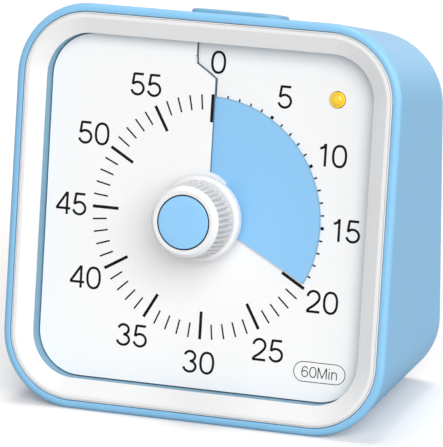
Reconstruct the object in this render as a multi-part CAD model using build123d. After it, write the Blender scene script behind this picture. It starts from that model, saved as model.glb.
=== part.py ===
from build123d import *
import math
import os

# Sixty-minute visual countdown timer, in millimetres.
# Part frame: +X to the right of someone facing the dial, +Y away from them, +Z up.
# The origin is the middle of the flat base, on the surface that it stands on.

# --- case ---
face_width = 86.0
face_height = 86.5
face_corner = 16.0
face_lean = 9.59            # degrees that the dial leans back from upright
base_depth = 46.2           # along the base, from the front edge to the rear face
rear_width = 82.4
rear_height = 76.6
rear_corner = 15.0
front_round = 1.2           # rounding between the front rim and the sides
rear_round = 2.5
rim_width = 1.7             # front rim, seen from the front
wall = 2.6                  # case wall behind the front pocket
rear_wall = 4.6             # the same wall where it meets the rear cover
seam = 0.05                 # gap between pieces that are clamped or glued together
snug = 0.12                 # gap round pieces that drop into a recess
running = 0.05              # radial gap of a shaft in its bearing
past = 1.0                  # cutters run this far beyond what they cut

# --- front bezel ---
bezel_width = 4.65
bezel_flat = 1.0            # flat outer band, before the dish starts
bezel_dish = 1.6            # how far the lip lies behind the front
bezel_lip = 0.4

# --- dial tray ---
tray_flange = 1.3
tray_wall = 1.4
tray_floor_depth = 7.4      # behind the front plane
tray_floor = 1.6

# --- dial plate and time disc, both on one helical surface ---
dial_depth = 5.13           # mean depth of the dial's front surface behind the front plane
dial_pitch = 1.4            # rise of the surface in one turn, so the height of the slit's step
dial_sheet = 0.5
disc_film = 0.3
disc_radius = 25.0
disc_sweep = 350.0          # degrees of film
disc_lead = 119.4           # degrees of film past the slit at rest: 20 minutes, less half a tick
turn_to_zero = -120.0       # knob travel back to 0 minutes
hub_opening = 6.2           # radius of the plate's hole round the hub
hub_radius = 5.2
hub_margin = 0.1            # hub beyond the film's highest and lowest edges
slit_x = 0.45               # the slit runs up here, then steps left above the ticks
slit_jog_low = 29.4
slit_jog_high = 32.4
slit_top_x = -4.2
slit_lap = 14.0             # degrees of sheet past the slit, which the jog trims
tongue_radius = 9.3         # collar of the left lip that laps over the film at the hub
tongue_sweep = 27.0
post_radius = 1.3
post_circle = 31.5
post_angles = (15.0, 75.0, 135.0, 195.0, 255.0, 315.0)

# --- knob ---
knob_front = 8.7            # front of the ring, ahead of the front plane
knob_ring_radius = 6.75
knob_shoulder = 1.0         # depth of the bevel behind the ring
knob_shoulder_radius = 7.55
knob_foot_radius = 8.35     # bottom of the ribbed side
knob_bead_radius = 9.1
knob_bead_front = -0.7
knob_bead_depth = 1.3
knob_ribs = 40
knob_rib_depth = 0.28
knob_wall = 1.5
knob_boss_radius = 4.6
knob_boss_back = -3.3
knob_front_web = 2.4        # solid front of the knob, between the cap's seat and the hollow
cap_radius = 5.8
cap_thick = 1.6
cap_proud = 0.1
cap_round = 0.25
knob_screw_web = 0.95       # knob between the shaft's end and the screw head
head_radius = 1.9           # every small screw's pan head
head_height = 0.8
screw_radius = 1.0
screw_length = 6.0
thread_gap = 0.02           # a screw in its pilot hole

# --- shaft and movement ---
shaft_radius = 3.0
shaft_flat = 2.3            # from the axis to the driving flat
shaft_top = 5.0
bush_radius = 4.6
bush_gap = 0.2              # below the tray's floor surface
collar_radius = 4.0
stem_radius = 2.0           # shaft inside the movement
pivot_radius = 1.2
case_plate = 1.2
case_wall = 1.2
case_width = 52.0
case_height = 48.0
case_corner = 4.0
case_drop = 5.0             # the movement's middle below the dial's
case_split = 5.6            # from the case's front to the cover's edge
case_depth = 11.2
gear_module = 0.5
gear_thick = 1.2
pinion_thick = 1.6
gear_pressure = 25.0
gear_backlash = 0.90        # tooth thickness as a share of half the pitch
wheel_addendum = 0.7
pinion_addendum = 0.85
dedendum = 1.15
layer_first = 2.4           # middle of each gear layer behind the case's front
layer_second = 4.3
layer_third = 6.2
main_teeth = 60
third_pinion_teeth = 12
third_teeth = 36
fourth_pinion_teeth = 12
fourth_teeth = 30
rotor_teeth = 10
third_angle = -135.0        # from the shaft to the third wheel
fourth_angle = -26.6        # from the third wheel to the fourth
rotor_angle = -18.7         # from the fourth wheel to the rotor
arbor_radius = 0.9
arbor_pivot = 0.5
pivot_sink = 0.8            # depth of the blind bearing holes
end_play = 0.15
magnet_radius = 3.0
magnet_height = 2.0
magnet_gap = 0.4            # pinion to magnet, and magnet to stator
stator_thick = 0.8
stator_rim = 1.8
coil_inset = 5.0            # coil's axis inside the movement's side
coil_low = -22.5
coil_high = -6.5
coil_radius = 2.0
core_width = 1.8
core_thick = 1.0
core_end = 3.0              # of the core beyond each end of the winding
wheel_windows = 5
wheel_window_circle = 9.5
wheel_window_radius = 3.0
clutch_sheet = 0.25
clutch_rise = 0.35
clutch_radius = 5.0
washer_thick = 0.4
washer_radius = 3.2
cam_radius = 6.0
cam_thick = 1.2
cam_notch = 1.2
contact_sheet = 0.3
contact_width = 1.6
contact_length = 12.0
contact_gap = 0.3
contact_post = 2.0
ear_radius = 2.8
ear_out = 3.6               # ears beyond the movement's side
ear_reach = 14.0            # ears above and below the movement's middle
ear_thick = 1.5
boss_height = 4.0           # bosses behind the tray that the ears sit on

# --- electronics ---
led_edge = 2.4              # lamp inside the main board's right end
led_y = 27.2
led_radius = 1.2
led_wall = 0.5
led_flange = 0.6
led_flange_rim = 0.6
led_proud = 0.35
led_dome = 0.55
led_sink = 0.6              # top of the diode below the dial plate's front
board_thick = 1.2
board_stand = 2.0           # boss height between the tray and the main board
board_left = -22.0
board_block_gap = 0.4       # main board's right end to the tray's fixing block
board_low = 21.0
board_high = 29.2
board_screw_inset = 3.0
board_boss_radius = 2.0
chip_size = 5.0
chip_height = 1.4
chip_x = 2.0

# --- tray fixing blocks in the case ---
block_half = 3.0
block_length = 11.0
block_y = 28.0
block_screw_inset = 7.9      # screw inside the front pocket's side

# --- rear cover and battery compartment ---
cover_inset = 3.4           # case edge to cover edge
cover_sink = 0.3
cover_thick = 2.6
cover_screw_inset = 9.7      # screw inside the rear face's side
cover_screw_z = 9.0
cover_post_half = 3.1
cover_post_length = 9.0
cell_radius = 5.25
cell_length = 43.7
cell_nub = 0.8
cell_nub_radius = 1.9
cell_gap = 0.6
bay_wall = 1.2
bay_low = 14.2
bay_spring_side = 4.3
bay_bump_side = 1.6
door_thick = 1.8
door_lap = 1.8              # door beyond the compartment at each end
door_lap_top = 1.2
door_lap_low = 1.6
door_play = 0.25
door_pin_radius = 0.55
door_pin_length = 1.0
door_grip_width = 12.0
door_grip_height = 2.4
door_grip_depth = 0.7
cover_screw_sink = 0.3
terminal_sheet = 0.4
terminal_width = 6.0
buzzer_inset = 24.2         # buzzer's middle inside the rear face's side
buzzer_z = 52.5
buzzer_radius = 10.0
buzzer_height = 4.0
buzzer_ring = 1.2
grille_slots = 5
grille_pitch = 2.6
grille_slot = 1.2
grille_radius = 7.6
switch_inset = 19.2         # switch's middle inside the rear face's other side
switch_z = 52.5
switch_length = 12.0
switch_width = 5.6
switch_height = 3.5
switch_rib = 1.2
slider_travel = 2.0
slider_length = 4.0
slider_width = 3.0
slider_proud = 0.8
slider_play = 0.2
slider_stem = 1.6
slider_sink = 1.6
slider_reach = 2.2          # stem inside the switch

# --- top button ---
button_width = 20.6
button_depth = 9.0
button_corner = 3.0
button_board_gap = 0.2      # between the main board's back and the button board
button_proud = 1.2
button_travel = 0.9
button_round = 0.5
button_play = 0.25
button_flange = 1.1
button_flange_rim = 1.4
button_wall = 2.4           # case wall, thinned round the button
button_relief = 2.0         # relief beyond the flange
switch_can = 6.0
can_height = 3.4
plunger_radius = 1.7
plunger_reach = 1.2
button_stem = 2.5
small_board_width = 34.0
small_board_depth = 10.0
small_board_boss = 2.2
small_board_screw_x = 14.6

# --- anti-slip pads ---
pad_radius = 4.5
pad_thick = 1.0
pad_x = 20.0
pad_y = 15.0

# ---------- worked-out sizes ----------
lean = math.radians(face_lean)
face_y = -base_depth / 2 + face_height / 2 * math.sin(lean) - front_round * math.cos(lean)
face_z = face_height / 2 * math.cos(lean) + front_round * math.sin(lean)
rear_y = base_depth / 2

opening_width = face_width - 2 * rim_width
opening_height = face_height - 2 * rim_width
opening_corner = face_corner - rim_width
dial_width = opening_width - 2 * bezel_width
dial_height = opening_height - 2 * bezel_width
dial_corner = opening_corner - bezel_width
bezel_back = bezel_dish + bezel_lip
tray_top = bezel_back + seam
pocket_depth = tray_top + tray_flange + seam
tray_back = tray_floor_depth + tray_floor
case_front = tray_back + seam
case_back = case_front + case_depth
inner_front = case_front + case_plate
inner_back = case_back - case_plate
film_level = -dial_depth - dial_sheet / 2
slit_level = film_level
turn = 360.0

# Part frame of the dial: x right, y up the face, z out of the front.
face_frame = Plane(
    origin=(0, face_y, face_z), x_dir=(1, 0, 0), z_dir=(0, -math.cos(lean), math.sin(lean))
)
# Rear frame: x right, y up, z into the case from the rear face.
rear_frame = Plane(origin=(0, rear_y, 0), x_dir=(1, 0, 0), z_dir=(0, -1, 0))
flange_top = -button_wall - button_play
flange_low = flange_top - button_flange
stem_low = flange_low - button_stem
can_top = stem_low - button_travel - button_play
can_low = can_top - can_height
flange_width = button_width + 2 * button_flange_rim
flange_depth = button_depth + 2 * button_flange_rim

# The button stands far enough back for its board to clear the main board.
top_front_y = face_y + face_height / 2 * math.sin(lean) + front_round * math.cos(lean)
top_front_z = face_z + face_height / 2 * math.cos(lean) - front_round * math.sin(lean)
top_slope = math.atan2(top_front_z - rear_height, rear_y - top_front_y)
top_to_face = top_slope - lean
main_board_back = tray_back + board_stand + seam + board_thick
button_board_low = can_low - seam - board_thick
button_back = small_board_depth / 2 + (
    main_board_back + button_board_gap - front_round - button_board_low * math.sin(top_to_face)
) / math.cos(top_to_face)

# Top frame: x right, y rearwards, z out of the sloping top, at the button's middle.
top_frame = Plane(
    origin=(
        0,
        top_front_y + button_back * math.cos(top_slope),
        top_front_z - button_back * math.sin(top_slope),
    ),
    x_dir=(1, 0, 0),
    z_dir=(0, math.sin(top_slope), math.cos(top_slope)),
)


# ---------- building blocks ----------
def slab(outline, low, high):
    """A flat outline made solid between two heights of its own frame."""
    return Pos(0, 0, low) * extrude(outline, high - low, dir=(0, 0, 1))


def disc(radius, low, high, at=(0, 0)):
    """A solid cylinder between two heights."""
    return slab(Pos(*at) * Circle(radius), low, high)


def block(x_low, x_high, y_low, y_high, low, high):
    """A box given by its limits."""
    outline = Pos((x_low + x_high) / 2, (y_low + y_high) / 2) * Rectangle(x_high - x_low, y_high - y_low)
    return slab(outline, low, high)


def ring(outer, inner, low, high, at=(0, 0)):
    """A tube between two heights."""
    return disc(outer, low, high, at) - disc(inner, low - past, high + past, at)


def polar(radius, degrees):
    """A point at an angle anticlockwise from x."""
    return (radius * math.cos(math.radians(degrees)), radius * math.sin(math.radians(degrees)))


def clock_point(radius, degrees):
    """A point at an angle clockwise from straight up."""
    return (radius * math.sin(math.radians(degrees)), radius * math.cos(math.radians(degrees)))


def outline_between(inset, fraction):
    """The case's outline at the front (0) or the rear (1), shrunk all round."""
    if fraction == 0:
        shape = RectangleRounded(
            face_width - 2 * inset, face_height - 2 * inset, face_corner - inset
        )
        return face_frame * Pos(0, 0, -front_round) * shape
    shape = RectangleRounded(
        rear_width - 2 * inset, rear_height - 2 * inset, rear_corner - inset
    )
    return rear_frame * Pos(0, rear_height / 2, 0) * shape


def case_body(front_inset, rear_inset):
    """The tapered case between its two outlines."""
    return loft([outline_between(front_inset, 0), outline_between(rear_inset, 1)], ruled=True)


def in_face(shape):
    return face_frame * shape


def in_rear(shape):
    return rear_frame * shape


def in_top(shape):
    return top_frame * shape


def helical_sheet(inner, outer, start, sweep, level, thick):
    """A sheet on the dial's helix: it rises by dial_pitch in each clockwise turn from the slit.

    level is the height of the sheet's underside at the slit; start and sweep are degrees clockwise.
    """
    rise = dial_pitch * sweep / turn
    inner_edge = Edge.make_helix(dial_pitch, rise, inner, lefthand=True)
    outer_edge = Edge.make_helix(dial_pitch, rise, outer, lefthand=True)
    face = Face.make_surface_from_curves(inner_edge, outer_edge)
    sheet = Solid.extrude(face, Vector(0, 0, thick))
    return Pos(0, 0, level + dial_pitch * start / turn) * Rot(0, 0, 90 - start) * sheet


def plate_top(degrees):
    """Height of the dial plate's front surface at an angle clockwise from the slit."""
    return -dial_depth + dial_pitch * (degrees / turn - 0.5)


def involute_gear(teeth, addendum, thick, middle, phase, at):
    """A spur gear with a tooth centred on phase degrees; each flank is an involute on three points."""
    pitch_radius = gear_module * teeth / 2
    pressure = math.radians(gear_pressure)
    base_radius = pitch_radius * math.cos(pressure)
    root_radius = pitch_radius - dedendum * gear_module
    tip_radius = pitch_radius + addendum * gear_module
    half_tooth = gear_backlash * math.pi / (2 * teeth)
    pitch_roll = math.tan(pressure) - pressure

    def flank_angle(radius):
        angle = math.acos(min(1.0, base_radius / radius))
        return half_tooth + pitch_roll - (math.tan(angle) - angle)

    points = []
    for tooth in range(teeth):
        centre = math.radians(phase) + 2 * math.pi * tooth / teeth
        radii = (root_radius, max(base_radius, root_radius), pitch_radius, tip_radius)
        steps = [(radius, -flank_angle(radius)) for radius in radii]
        steps += [(radius, flank_angle(radius)) for radius in reversed(radii)]
        for radius, offset in steps:
            point = (radius * math.cos(centre + offset), radius * math.sin(centre + offset))
            if not points or math.dist(points[-1], point) > seam / 10:
                points.append(point)
    outline = Polygon(*points, align=None)
    return slab(Pos(*at) * outline, middle - thick / 2, middle + thick / 2)


def pan_screw(head_at, tip_at):
    """A pan-head screw along z: the head's bearing face at head_at, the tip at tip_at."""
    away = 1 if head_at > tip_at else -1
    head_low, head_high = sorted((head_at, head_at + away * head_height))
    shank_low, shank_high = sorted((head_at, tip_at))
    head = disc(head_radius, head_low, head_high)
    top = head.faces().sort_by(Axis.Z)[-1 if away > 0 else 0]
    head = chamfer(top.edges(), head_height / 4)
    slot = Rectangle(2 * head_radius / 3, head_height / 3) + Rectangle(head_height / 3, 2 * head_radius / 3)
    cut_low, cut_high = sorted((head_at + away * head_height / 2, head_at + away * head_height * 2))
    return head + disc(screw_radius, shank_low, shank_high) - slab(slot, cut_low, cut_high)


def screw_hole(at, low, high):
    return disc(screw_radius + thread_gap, low, high, at)


# ---------- gear train places ----------
main_centre = (0.0, 0.0)
reach = gear_module * (main_teeth + third_pinion_teeth) / 2
third_centre = polar(reach, third_angle)
step = polar(gear_module * (third_teeth + fourth_pinion_teeth) / 2, fourth_angle)
fourth_centre = (third_centre[0] + step[0], third_centre[1] + step[1])
step = polar(gear_module * (fourth_teeth + rotor_teeth) / 2, rotor_angle)
rotor_centre = (fourth_centre[0] + step[0], fourth_centre[1] + step[1])
first_level = -case_front - layer_first
second_level = -case_front - layer_second
third_level = -case_front - layer_third
magnet_top = third_level - pinion_thick / 2 - magnet_gap
stator_middle = magnet_top - magnet_height / 2
coil_x = case_width / 2 - coil_inset
ear_places = [
    (side * (case_width / 2 + ear_out), -case_drop + up * ear_reach) for side in (-1, 1) for up in (-1, 1)
]
block_screw_x = opening_width / 2 - block_screw_inset
board_right = block_screw_x - block_half - board_block_gap
led_x = board_right - led_edge
tray_screw_places = [
    (side * block_screw_x, up * block_y) for side in (-1, 1) for up in (-1, 1)
]
board_screw_places = [
    (board_left + board_screw_inset, (board_low + board_high) / 2),
    (led_x - 3 * board_screw_inset, (board_low + board_high) / 2),
]
cover_screw_x = rear_width / 2 - cover_screw_inset
buzzer_x = buzzer_inset - rear_width / 2
switch_x = rear_width / 2 - switch_inset
cover_screw_places = [
    (side * cover_screw_x, height)
    for side in (-1, 1)
    for height in (cover_screw_z, rear_height - cover_screw_z)
]
pad_places = [(side * pad_x, back * pad_y) for side in (-1, 1) for back in (-1, 1)]

# ---------- battery compartment places ----------
cover_back = cover_sink + cover_thick
bay_length = cell_length + cell_nub + bay_spring_side + bay_bump_side
bay_height = 4 * cell_radius + 3 * cell_gap
bay_top = bay_low + bay_height
cell_depth = cover_sink + door_thick + cell_gap + cell_radius
bay_depth = cell_depth + cell_radius + cell_gap
cell_heights = (
    bay_low + cell_gap + cell_radius,
    bay_low + 2 * cell_gap + 3 * cell_radius,
)
door_low = bay_low - door_lap_low
door_high = bay_top + door_lap_top
door_half = bay_length / 2 + door_lap
door_axis_z = door_low + door_play + door_thick / 2
door_axis_depth = cover_sink + door_thick / 2

# ---------- other places ----------
led_place = (led_x, led_y)
led_plate = plate_top(math.degrees(math.atan2(led_x, led_y)))
led_top = led_plate - led_sink
board_face = -tray_back - board_stand - seam
knob_screw_seat = shaft_top + seam + knob_screw_web
clutch_low = first_level - gear_thick / 2 - clutch_rise
cam_low = clutch_low - washer_thick - cam_thick
contact_level = cam_radius + contact_gap
ear_top = -tray_back - boss_height - seam
ear_low = ear_top - ear_thick
cover_screw_seat = cover_sink + head_height + cover_screw_sink
small_board_screw_places = [(side * small_board_screw_x, 0) for side in (-1, 1)]


# ---------- case ----------
def cover_outline(gap):
    """The rear cover's outline, smaller by gap all round than the recess that it sits in."""
    inset = cover_inset + gap
    shape = RectangleRounded(rear_width - 2 * inset, rear_height - 2 * inset, rear_corner - inset)
    return Pos(0, rear_height / 2) * shape


def opening_outline(gap):
    """The front pocket's outline, shrunk all round."""
    return RectangleRounded(opening_width - 2 * gap, opening_height - 2 * gap, opening_corner - gap)


def dial_outline(gap):
    """The dial opening's outline, shrunk all round."""
    return RectangleRounded(dial_width - 2 * gap, dial_height - 2 * gap, dial_corner - gap)


def screw_blocks(core):
    """Solid blocks inside the case that take the tray's and the rear cover's screws."""
    blocks = []
    for x, y in tray_screw_places:
        block_side = math.copysign(block_screw_x - block_half, x)
        low, high = sorted((block_side, math.copysign(face_width / 2, x)))
        lug = block(low, high, y - block_half, y + block_half, -case_front - block_length, -case_front)
        blocks.append(in_face(lug) & core)
    for x, z in cover_screw_places:
        post_side = math.copysign(cover_screw_x - cover_post_half, x)
        low, high = sorted((post_side, math.copysign(rear_width / 2, x)))
        reach_in = cover_screw_z + cover_post_half
        z_low, z_high = (0, reach_in) if z < rear_height / 2 else (rear_height - reach_in, rear_height)
        post = block(low, high, z_low, z_high, cover_back + seam, cover_back + cover_post_length)
        blocks.append(in_rear(post) & core)
    return blocks


def make_main_housing():
    body = case_body(0, 0)
    body = fillet(body.faces().sort_by(Axis.Y)[-1].edges(), rear_round)
    front_slab = slab(RectangleRounded(face_width, face_height, face_corner), -front_round, 0)
    front_slab = fillet(front_slab.faces().sort_by(Axis.Z)[-1].edges(), front_round - seam)
    body += in_face(front_slab)
    # The lofted underside is flat without being a plane face, so a block of the base takes its place.
    sole_x = rear_width / 2 - rear_corner
    sole_front = -base_depth / 2 + wall
    sole_rear = rear_y - rear_round
    body -= block(-sole_x, sole_x, sole_front, sole_rear, -past, wall / 2)
    body += block(-sole_x, sole_x, sole_front, sole_rear, 0, wall / 2)
    inside = case_body(wall, rear_wall)
    for solid_block in screw_blocks(case_body(wall / 2, wall / 2)):
        inside -= solid_block
    body -= inside
    body -= in_face(slab(opening_outline(0), -pocket_depth, front_round))
    body -= in_rear(slab(cover_outline(0), -rear_round, cover_back + seam))
    relief_x = flange_width / 2 + button_relief
    relief_y = flange_depth / 2 + button_relief
    body -= in_top(block(-relief_x, relief_x, -relief_y, relief_y, -rear_wall - wall, -button_wall))
    slot = RectangleRounded(
        button_width + 2 * button_play, button_depth + 2 * button_play, button_corner + button_play
    )
    body -= in_top(slab(slot, -2 * button_wall, button_wall))
    for at in small_board_screw_places:
        body += in_top(disc(small_board_boss, can_low, -button_wall / 2, at))
        body -= in_top(screw_hole(at, can_low - past, -button_wall))
    for at in tray_screw_places:
        body -= in_face(screw_hole(at, -case_front - screw_length, -tray_back))
    for at in cover_screw_places:
        body -= in_rear(screw_hole(at, cover_back, cover_back + screw_length))
    for at in pad_places:
        body -= disc(pad_radius + snug, -pad_thick, pad_thick + seam, at)
    return body


def make_front_bezel():
    body = slab(opening_outline(snug), -bezel_back, 0)
    dish = loft(
        [Pos(0, 0, -bezel_dish) * dial_outline(0), opening_outline(bezel_flat)], ruled=True
    )
    return in_face(body - dish - slab(dial_outline(0), -2 * bezel_back, 0))


def make_dial_tray():
    body = slab(opening_outline(snug), -tray_top - tray_flange, -tray_top)
    body += slab(dial_outline(-tray_wall), -tray_back, -tray_top)
    body -= slab(dial_outline(0), -tray_floor_depth, 0)
    body -= disc(bush_radius + snug, -2 * tray_back, 0)
    body -= disc(led_radius + led_wall, -2 * tray_back, 0, led_place)
    for degrees in post_angles:
        top = plate_top(degrees) - dial_sheet - seam
        body += disc(post_radius, -tray_back, top, clock_point(post_circle, degrees))
    pilot_end = -tray_floor_depth - tray_floor / 2
    for places, radius, height in (
        (ear_places, ear_radius, boss_height),
        (board_screw_places, board_boss_radius, board_stand),
    ):
        for at in places:
            body += disc(radius, -tray_back - height, -tray_back, at)
            body -= screw_hole(at, -2 * tray_back, pilot_end)
    for at in tray_screw_places:
        body -= disc(head_radius + snug, -tray_floor_depth - head_height, 0, at)
        body -= screw_hole(at, -2 * tray_back, 0)
    return in_face(body)


def make_pads():
    return [disc(pad_radius, 0, pad_thick, at) for at in pad_places]


# ---------- dial ----------
def make_dial_plate():
    """One turn of the helix, slit from the hub up, with the left lip a step in front of the right."""
    far = dial_width
    under = plate_top(0) - dial_sheet
    sheet = helical_sheet(
        hub_opening, far, -slit_lap, turn + slit_lap + tongue_sweep, under, dial_sheet
    )
    sheet &= slab(dial_outline(snug), -tray_floor_depth, 0)
    slit = [
        (slit_x, 0), (slit_x, slit_jog_low), (slit_top_x, slit_jog_high), (slit_top_x, far),
    ]
    left_side = Polygon(*slit, (-far, far), (-far, 0), align=None)
    right_side = Polygon(*slit, (far, far), (far, 0), align=None)
    sheet -= slab(left_side, -2 * tray_back, slit_level)
    sheet -= slab(right_side, slit_level, past) - disc(tongue_radius, -2 * tray_back, 2 * past)
    sheet -= disc(led_radius + led_wall + snug, -2 * tray_back, past, led_place)
    return in_face(sheet)


def make_time_disc():
    start = disc_lead - disc_sweep
    back = film_level - disc_film / 2
    return in_face(
        helical_sheet(hub_radius + thread_gap, disc_radius, start, disc_sweep, back, disc_film)
    )


def keyed_round(radius, flat, low, high):
    """A round bar with one driving flat."""
    bar = disc(radius, low, high)
    return bar - block(-2 * radius, 2 * radius, flat, 2 * radius, low - past, high + past)


def make_disc_hub():
    start = disc_lead - disc_sweep
    low = film_level - disc_film / 2 + dial_pitch * start / turn - hub_margin
    high = film_level + disc_film / 2 + dial_pitch * disc_lead / turn + hub_margin
    bore = keyed_round(shaft_radius + running, shaft_flat + running, low - past, high + past)
    return in_face(disc(hub_radius, low, high) - bore)


# ---------- knob ----------
def make_knob():
    back = knob_bead_front - knob_bead_depth
    cap_seat = knob_front - cap_thick
    outline = Polygon(
        (0, back), (knob_bead_radius, back), (knob_bead_radius, knob_bead_front),
        (knob_foot_radius, knob_bead_front), (knob_shoulder_radius, knob_front - knob_shoulder),
        (knob_ring_radius, knob_front), (0, knob_front), align=None,
    )
    body = revolve(Plane.XZ * outline, Axis.Z)
    groove_outline = Polygon(
        (knob_foot_radius - knob_rib_depth, knob_bead_front + knob_rib_depth),
        (knob_bead_radius, knob_bead_front + knob_rib_depth),
        (knob_bead_radius, knob_front - knob_shoulder),
        (knob_shoulder_radius - knob_rib_depth, knob_front - knob_shoulder),
        align=None,
    )
    groove_width = math.pi * knob_shoulder_radius / knob_ribs
    groove = Pos(0, groove_width / 2, 0) * extrude(Plane.XZ * groove_outline, groove_width)
    body -= [Rot(0, 0, turn * rib / knob_ribs) * groove for rib in range(knob_ribs)]
    hollow_top = cap_seat - knob_front_web
    hollow_radius = knob_shoulder_radius - knob_wall
    body -= disc(hollow_radius, back - past, hollow_top)
    body += disc(knob_boss_radius, knob_boss_back, hollow_top)
    body -= keyed_round(
        shaft_radius + running, shaft_flat + running, knob_boss_back - past, shaft_top + seam
    )
    body -= screw_hole((0, 0), shaft_top, knob_front)
    body -= disc(head_radius + snug, knob_screw_seat, knob_front)
    body -= disc(cap_radius + snug, cap_seat, knob_front + past)
    return in_face(body)


def make_knob_cap():
    body = disc(cap_radius, knob_front - cap_thick + seam, knob_front + cap_proud)
    return in_face(fillet(body.faces().sort_by(Axis.Z)[-1].edges(), cap_round))


def make_dial_shaft():
    bush_top = -tray_floor_depth - bush_gap
    collar_top = -inner_front - seam
    wheel_top = first_level + gear_thick / 2
    body = keyed_round(shaft_radius, shaft_flat, bush_top, shaft_top)
    body += disc(shaft_radius, collar_top, bush_top)
    body += disc(collar_radius, wheel_top, collar_top)
    body += disc(stem_radius, cam_low - seam, wheel_top)
    body += disc(pivot_radius, -inner_back - pivot_sink + end_play, cam_low)
    body -= screw_hole((0, 0), shaft_top - screw_length, shaft_top + past)
    return in_face(body)


# ---------- gear train ----------
def arbor(at):
    """A wheel's arbor with a fine pivot at each end."""
    body = disc(arbor_radius, -inner_back + end_play, -inner_front - end_play, at)
    tip = pivot_sink - end_play
    return body + disc(arbor_pivot, -inner_back - tip, -inner_front + tip, at)


def make_main_wheel():
    wheel = involute_gear(
        main_teeth, wheel_addendum, gear_thick, first_level, third_angle, main_centre
    )
    wheel -= disc(stem_radius + thread_gap, first_level - gear_thick, first_level + gear_thick)
    for spoke in range(wheel_windows):
        at = polar(wheel_window_circle, turn * (spoke + 0.5) / wheel_windows)
        wheel -= disc(wheel_window_radius, first_level - gear_thick, first_level + gear_thick, at)
    return in_face(wheel)


def make_third_wheel():
    gap_phase = third_angle + turn / 2 + turn / (2 * third_pinion_teeth)
    body = involute_gear(
        third_pinion_teeth, pinion_addendum, pinion_thick, first_level, gap_phase, third_centre
    )
    body += involute_gear(
        third_teeth, wheel_addendum, gear_thick, second_level, fourth_angle, third_centre
    )
    return in_face(body + arbor(third_centre))


def make_fourth_wheel():
    gap_phase = fourth_angle + turn / 2 + turn / (2 * fourth_pinion_teeth)
    body = involute_gear(
        fourth_pinion_teeth, pinion_addendum, pinion_thick, second_level, gap_phase, fourth_centre
    )
    body += involute_gear(
        fourth_teeth, wheel_addendum, gear_thick, third_level, rotor_angle, fourth_centre
    )
    return in_face(body + arbor(fourth_centre))


def make_rotor_pinion():
    gap_phase = rotor_angle + turn / 2 + turn / (2 * rotor_teeth)
    body = involute_gear(
        rotor_teeth, pinion_addendum, pinion_thick, third_level, gap_phase, rotor_centre
    )
    return in_face(body + arbor(rotor_centre))


def make_rotor_magnet():
    return in_face(
        ring(magnet_radius, arbor_radius + thread_gap, magnet_top - magnet_height, magnet_top, rotor_centre)
    )


def make_clutch_spring():
    """A dished washer that presses the main wheel against the shaft's collar."""
    high = first_level - gear_thick / 2
    low = high - clutch_rise
    inner = stem_radius + thread_gap
    outline = Polygon(
        (inner, low), (clutch_radius, high - clutch_sheet), (clutch_radius, high),
        (inner, low + clutch_sheet), align=None,
    )
    return in_face(revolve(Plane.XZ * outline, Axis.Z))


def make_clutch_washer():
    high = clutch_low
    return in_face(ring(washer_radius, stem_radius + thread_gap, high - washer_thick, high))


def make_alarm_cam():
    """The cam that closes the alarm contact at zero."""
    body = ring(cam_radius, stem_radius + thread_gap, cam_low, cam_low + cam_thick)
    at = polar(cam_radius, turn / 4 + turn_to_zero)
    return in_face(body - disc(cam_notch, cam_low - past, cam_low + 2 * cam_thick, at))


# ---------- movement ----------
def case_outline(gap):
    shape = RectangleRounded(case_width - 2 * gap, case_height - 2 * gap, case_corner - gap)
    return Pos(0, -case_drop) * shape


def make_movement_case():
    split = -case_front - case_split
    body = slab(case_outline(0), split, -case_front)
    body -= slab(case_outline(case_wall), split - past, -inner_front)
    body += disc(bush_radius, -inner_front, -tray_floor_depth - bush_gap)
    body -= disc(shaft_radius + running, -case_back, 0)
    for at in (third_centre, fourth_centre, rotor_centre):
        body -= disc(arbor_pivot + running, -inner_front - past, -inner_front + pivot_sink, at)
    for x, y in ear_places:
        low, high = sorted((x, math.copysign(case_width / 2 - case_wall, x)))
        body += disc(ear_radius, ear_low, ear_top, (x, y))
        body += block(low, high, y - ear_radius, y + ear_radius, ear_low, ear_top)
        body -= screw_hole((x, y), ear_low - past, ear_top + past)
    return in_face(body)


def make_movement_cover():
    split = -case_front - case_split - 2 * seam
    body = slab(case_outline(0), -case_back, split)
    body -= slab(case_outline(case_wall), -inner_back, split + past)
    for at in (third_centre, fourth_centre, rotor_centre):
        body -= disc(arbor_pivot + running, -inner_back - pivot_sink, -inner_back + past, at)
    body -= disc(pivot_radius + running, -inner_back - pivot_sink, -inner_back + past)
    peg_top = stator_middle - stator_thick / 2 - seam
    for y in (coil_low - core_end / 2, coil_high + core_end / 2):
        body += disc(core_width / 2, -inner_back, peg_top, (coil_x, y))
    post_top = second_level + contact_width / 2
    body += block(
        -contact_length - contact_post, -contact_length, contact_level - contact_post,
        contact_level - seam, -inner_back, post_top,
    )
    return in_face(body)


def make_stator():
    low = stator_middle - stator_thick / 2
    high = stator_middle + stator_thick / 2
    inner = magnet_radius + magnet_gap
    outer = inner + stator_rim
    x, y = rotor_centre
    right = coil_x + core_width
    lower = coil_low - core_end
    upper = coil_high + core_end
    lower_arm = Polygon(
        (x, y - outer), (right, lower - stator_rim / 2), (right, coil_low - seam),
        (x + inner, coil_low - seam), align=None,
    )
    upper_arm = Polygon(
        (x + inner / 2, y + inner), (x + outer, y), (coil_x - coil_radius - snug, coil_high),
        (right, coil_high + seam), (right, upper), (coil_x - core_width, upper), align=None,
    )
    body = disc(outer, low, high, rotor_centre) + slab(lower_arm, low, high) + slab(upper_arm, low, high)
    return in_face(body - disc(inner, low - past, high + past, rotor_centre))


def make_coil_core():
    low = stator_middle + stator_thick / 2 + seam
    half = core_width / 2
    near, far = coil_low - core_end, coil_high + core_end
    return in_face(block(coil_x - half, coil_x + half, near, far, low, low + core_thick))


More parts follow.
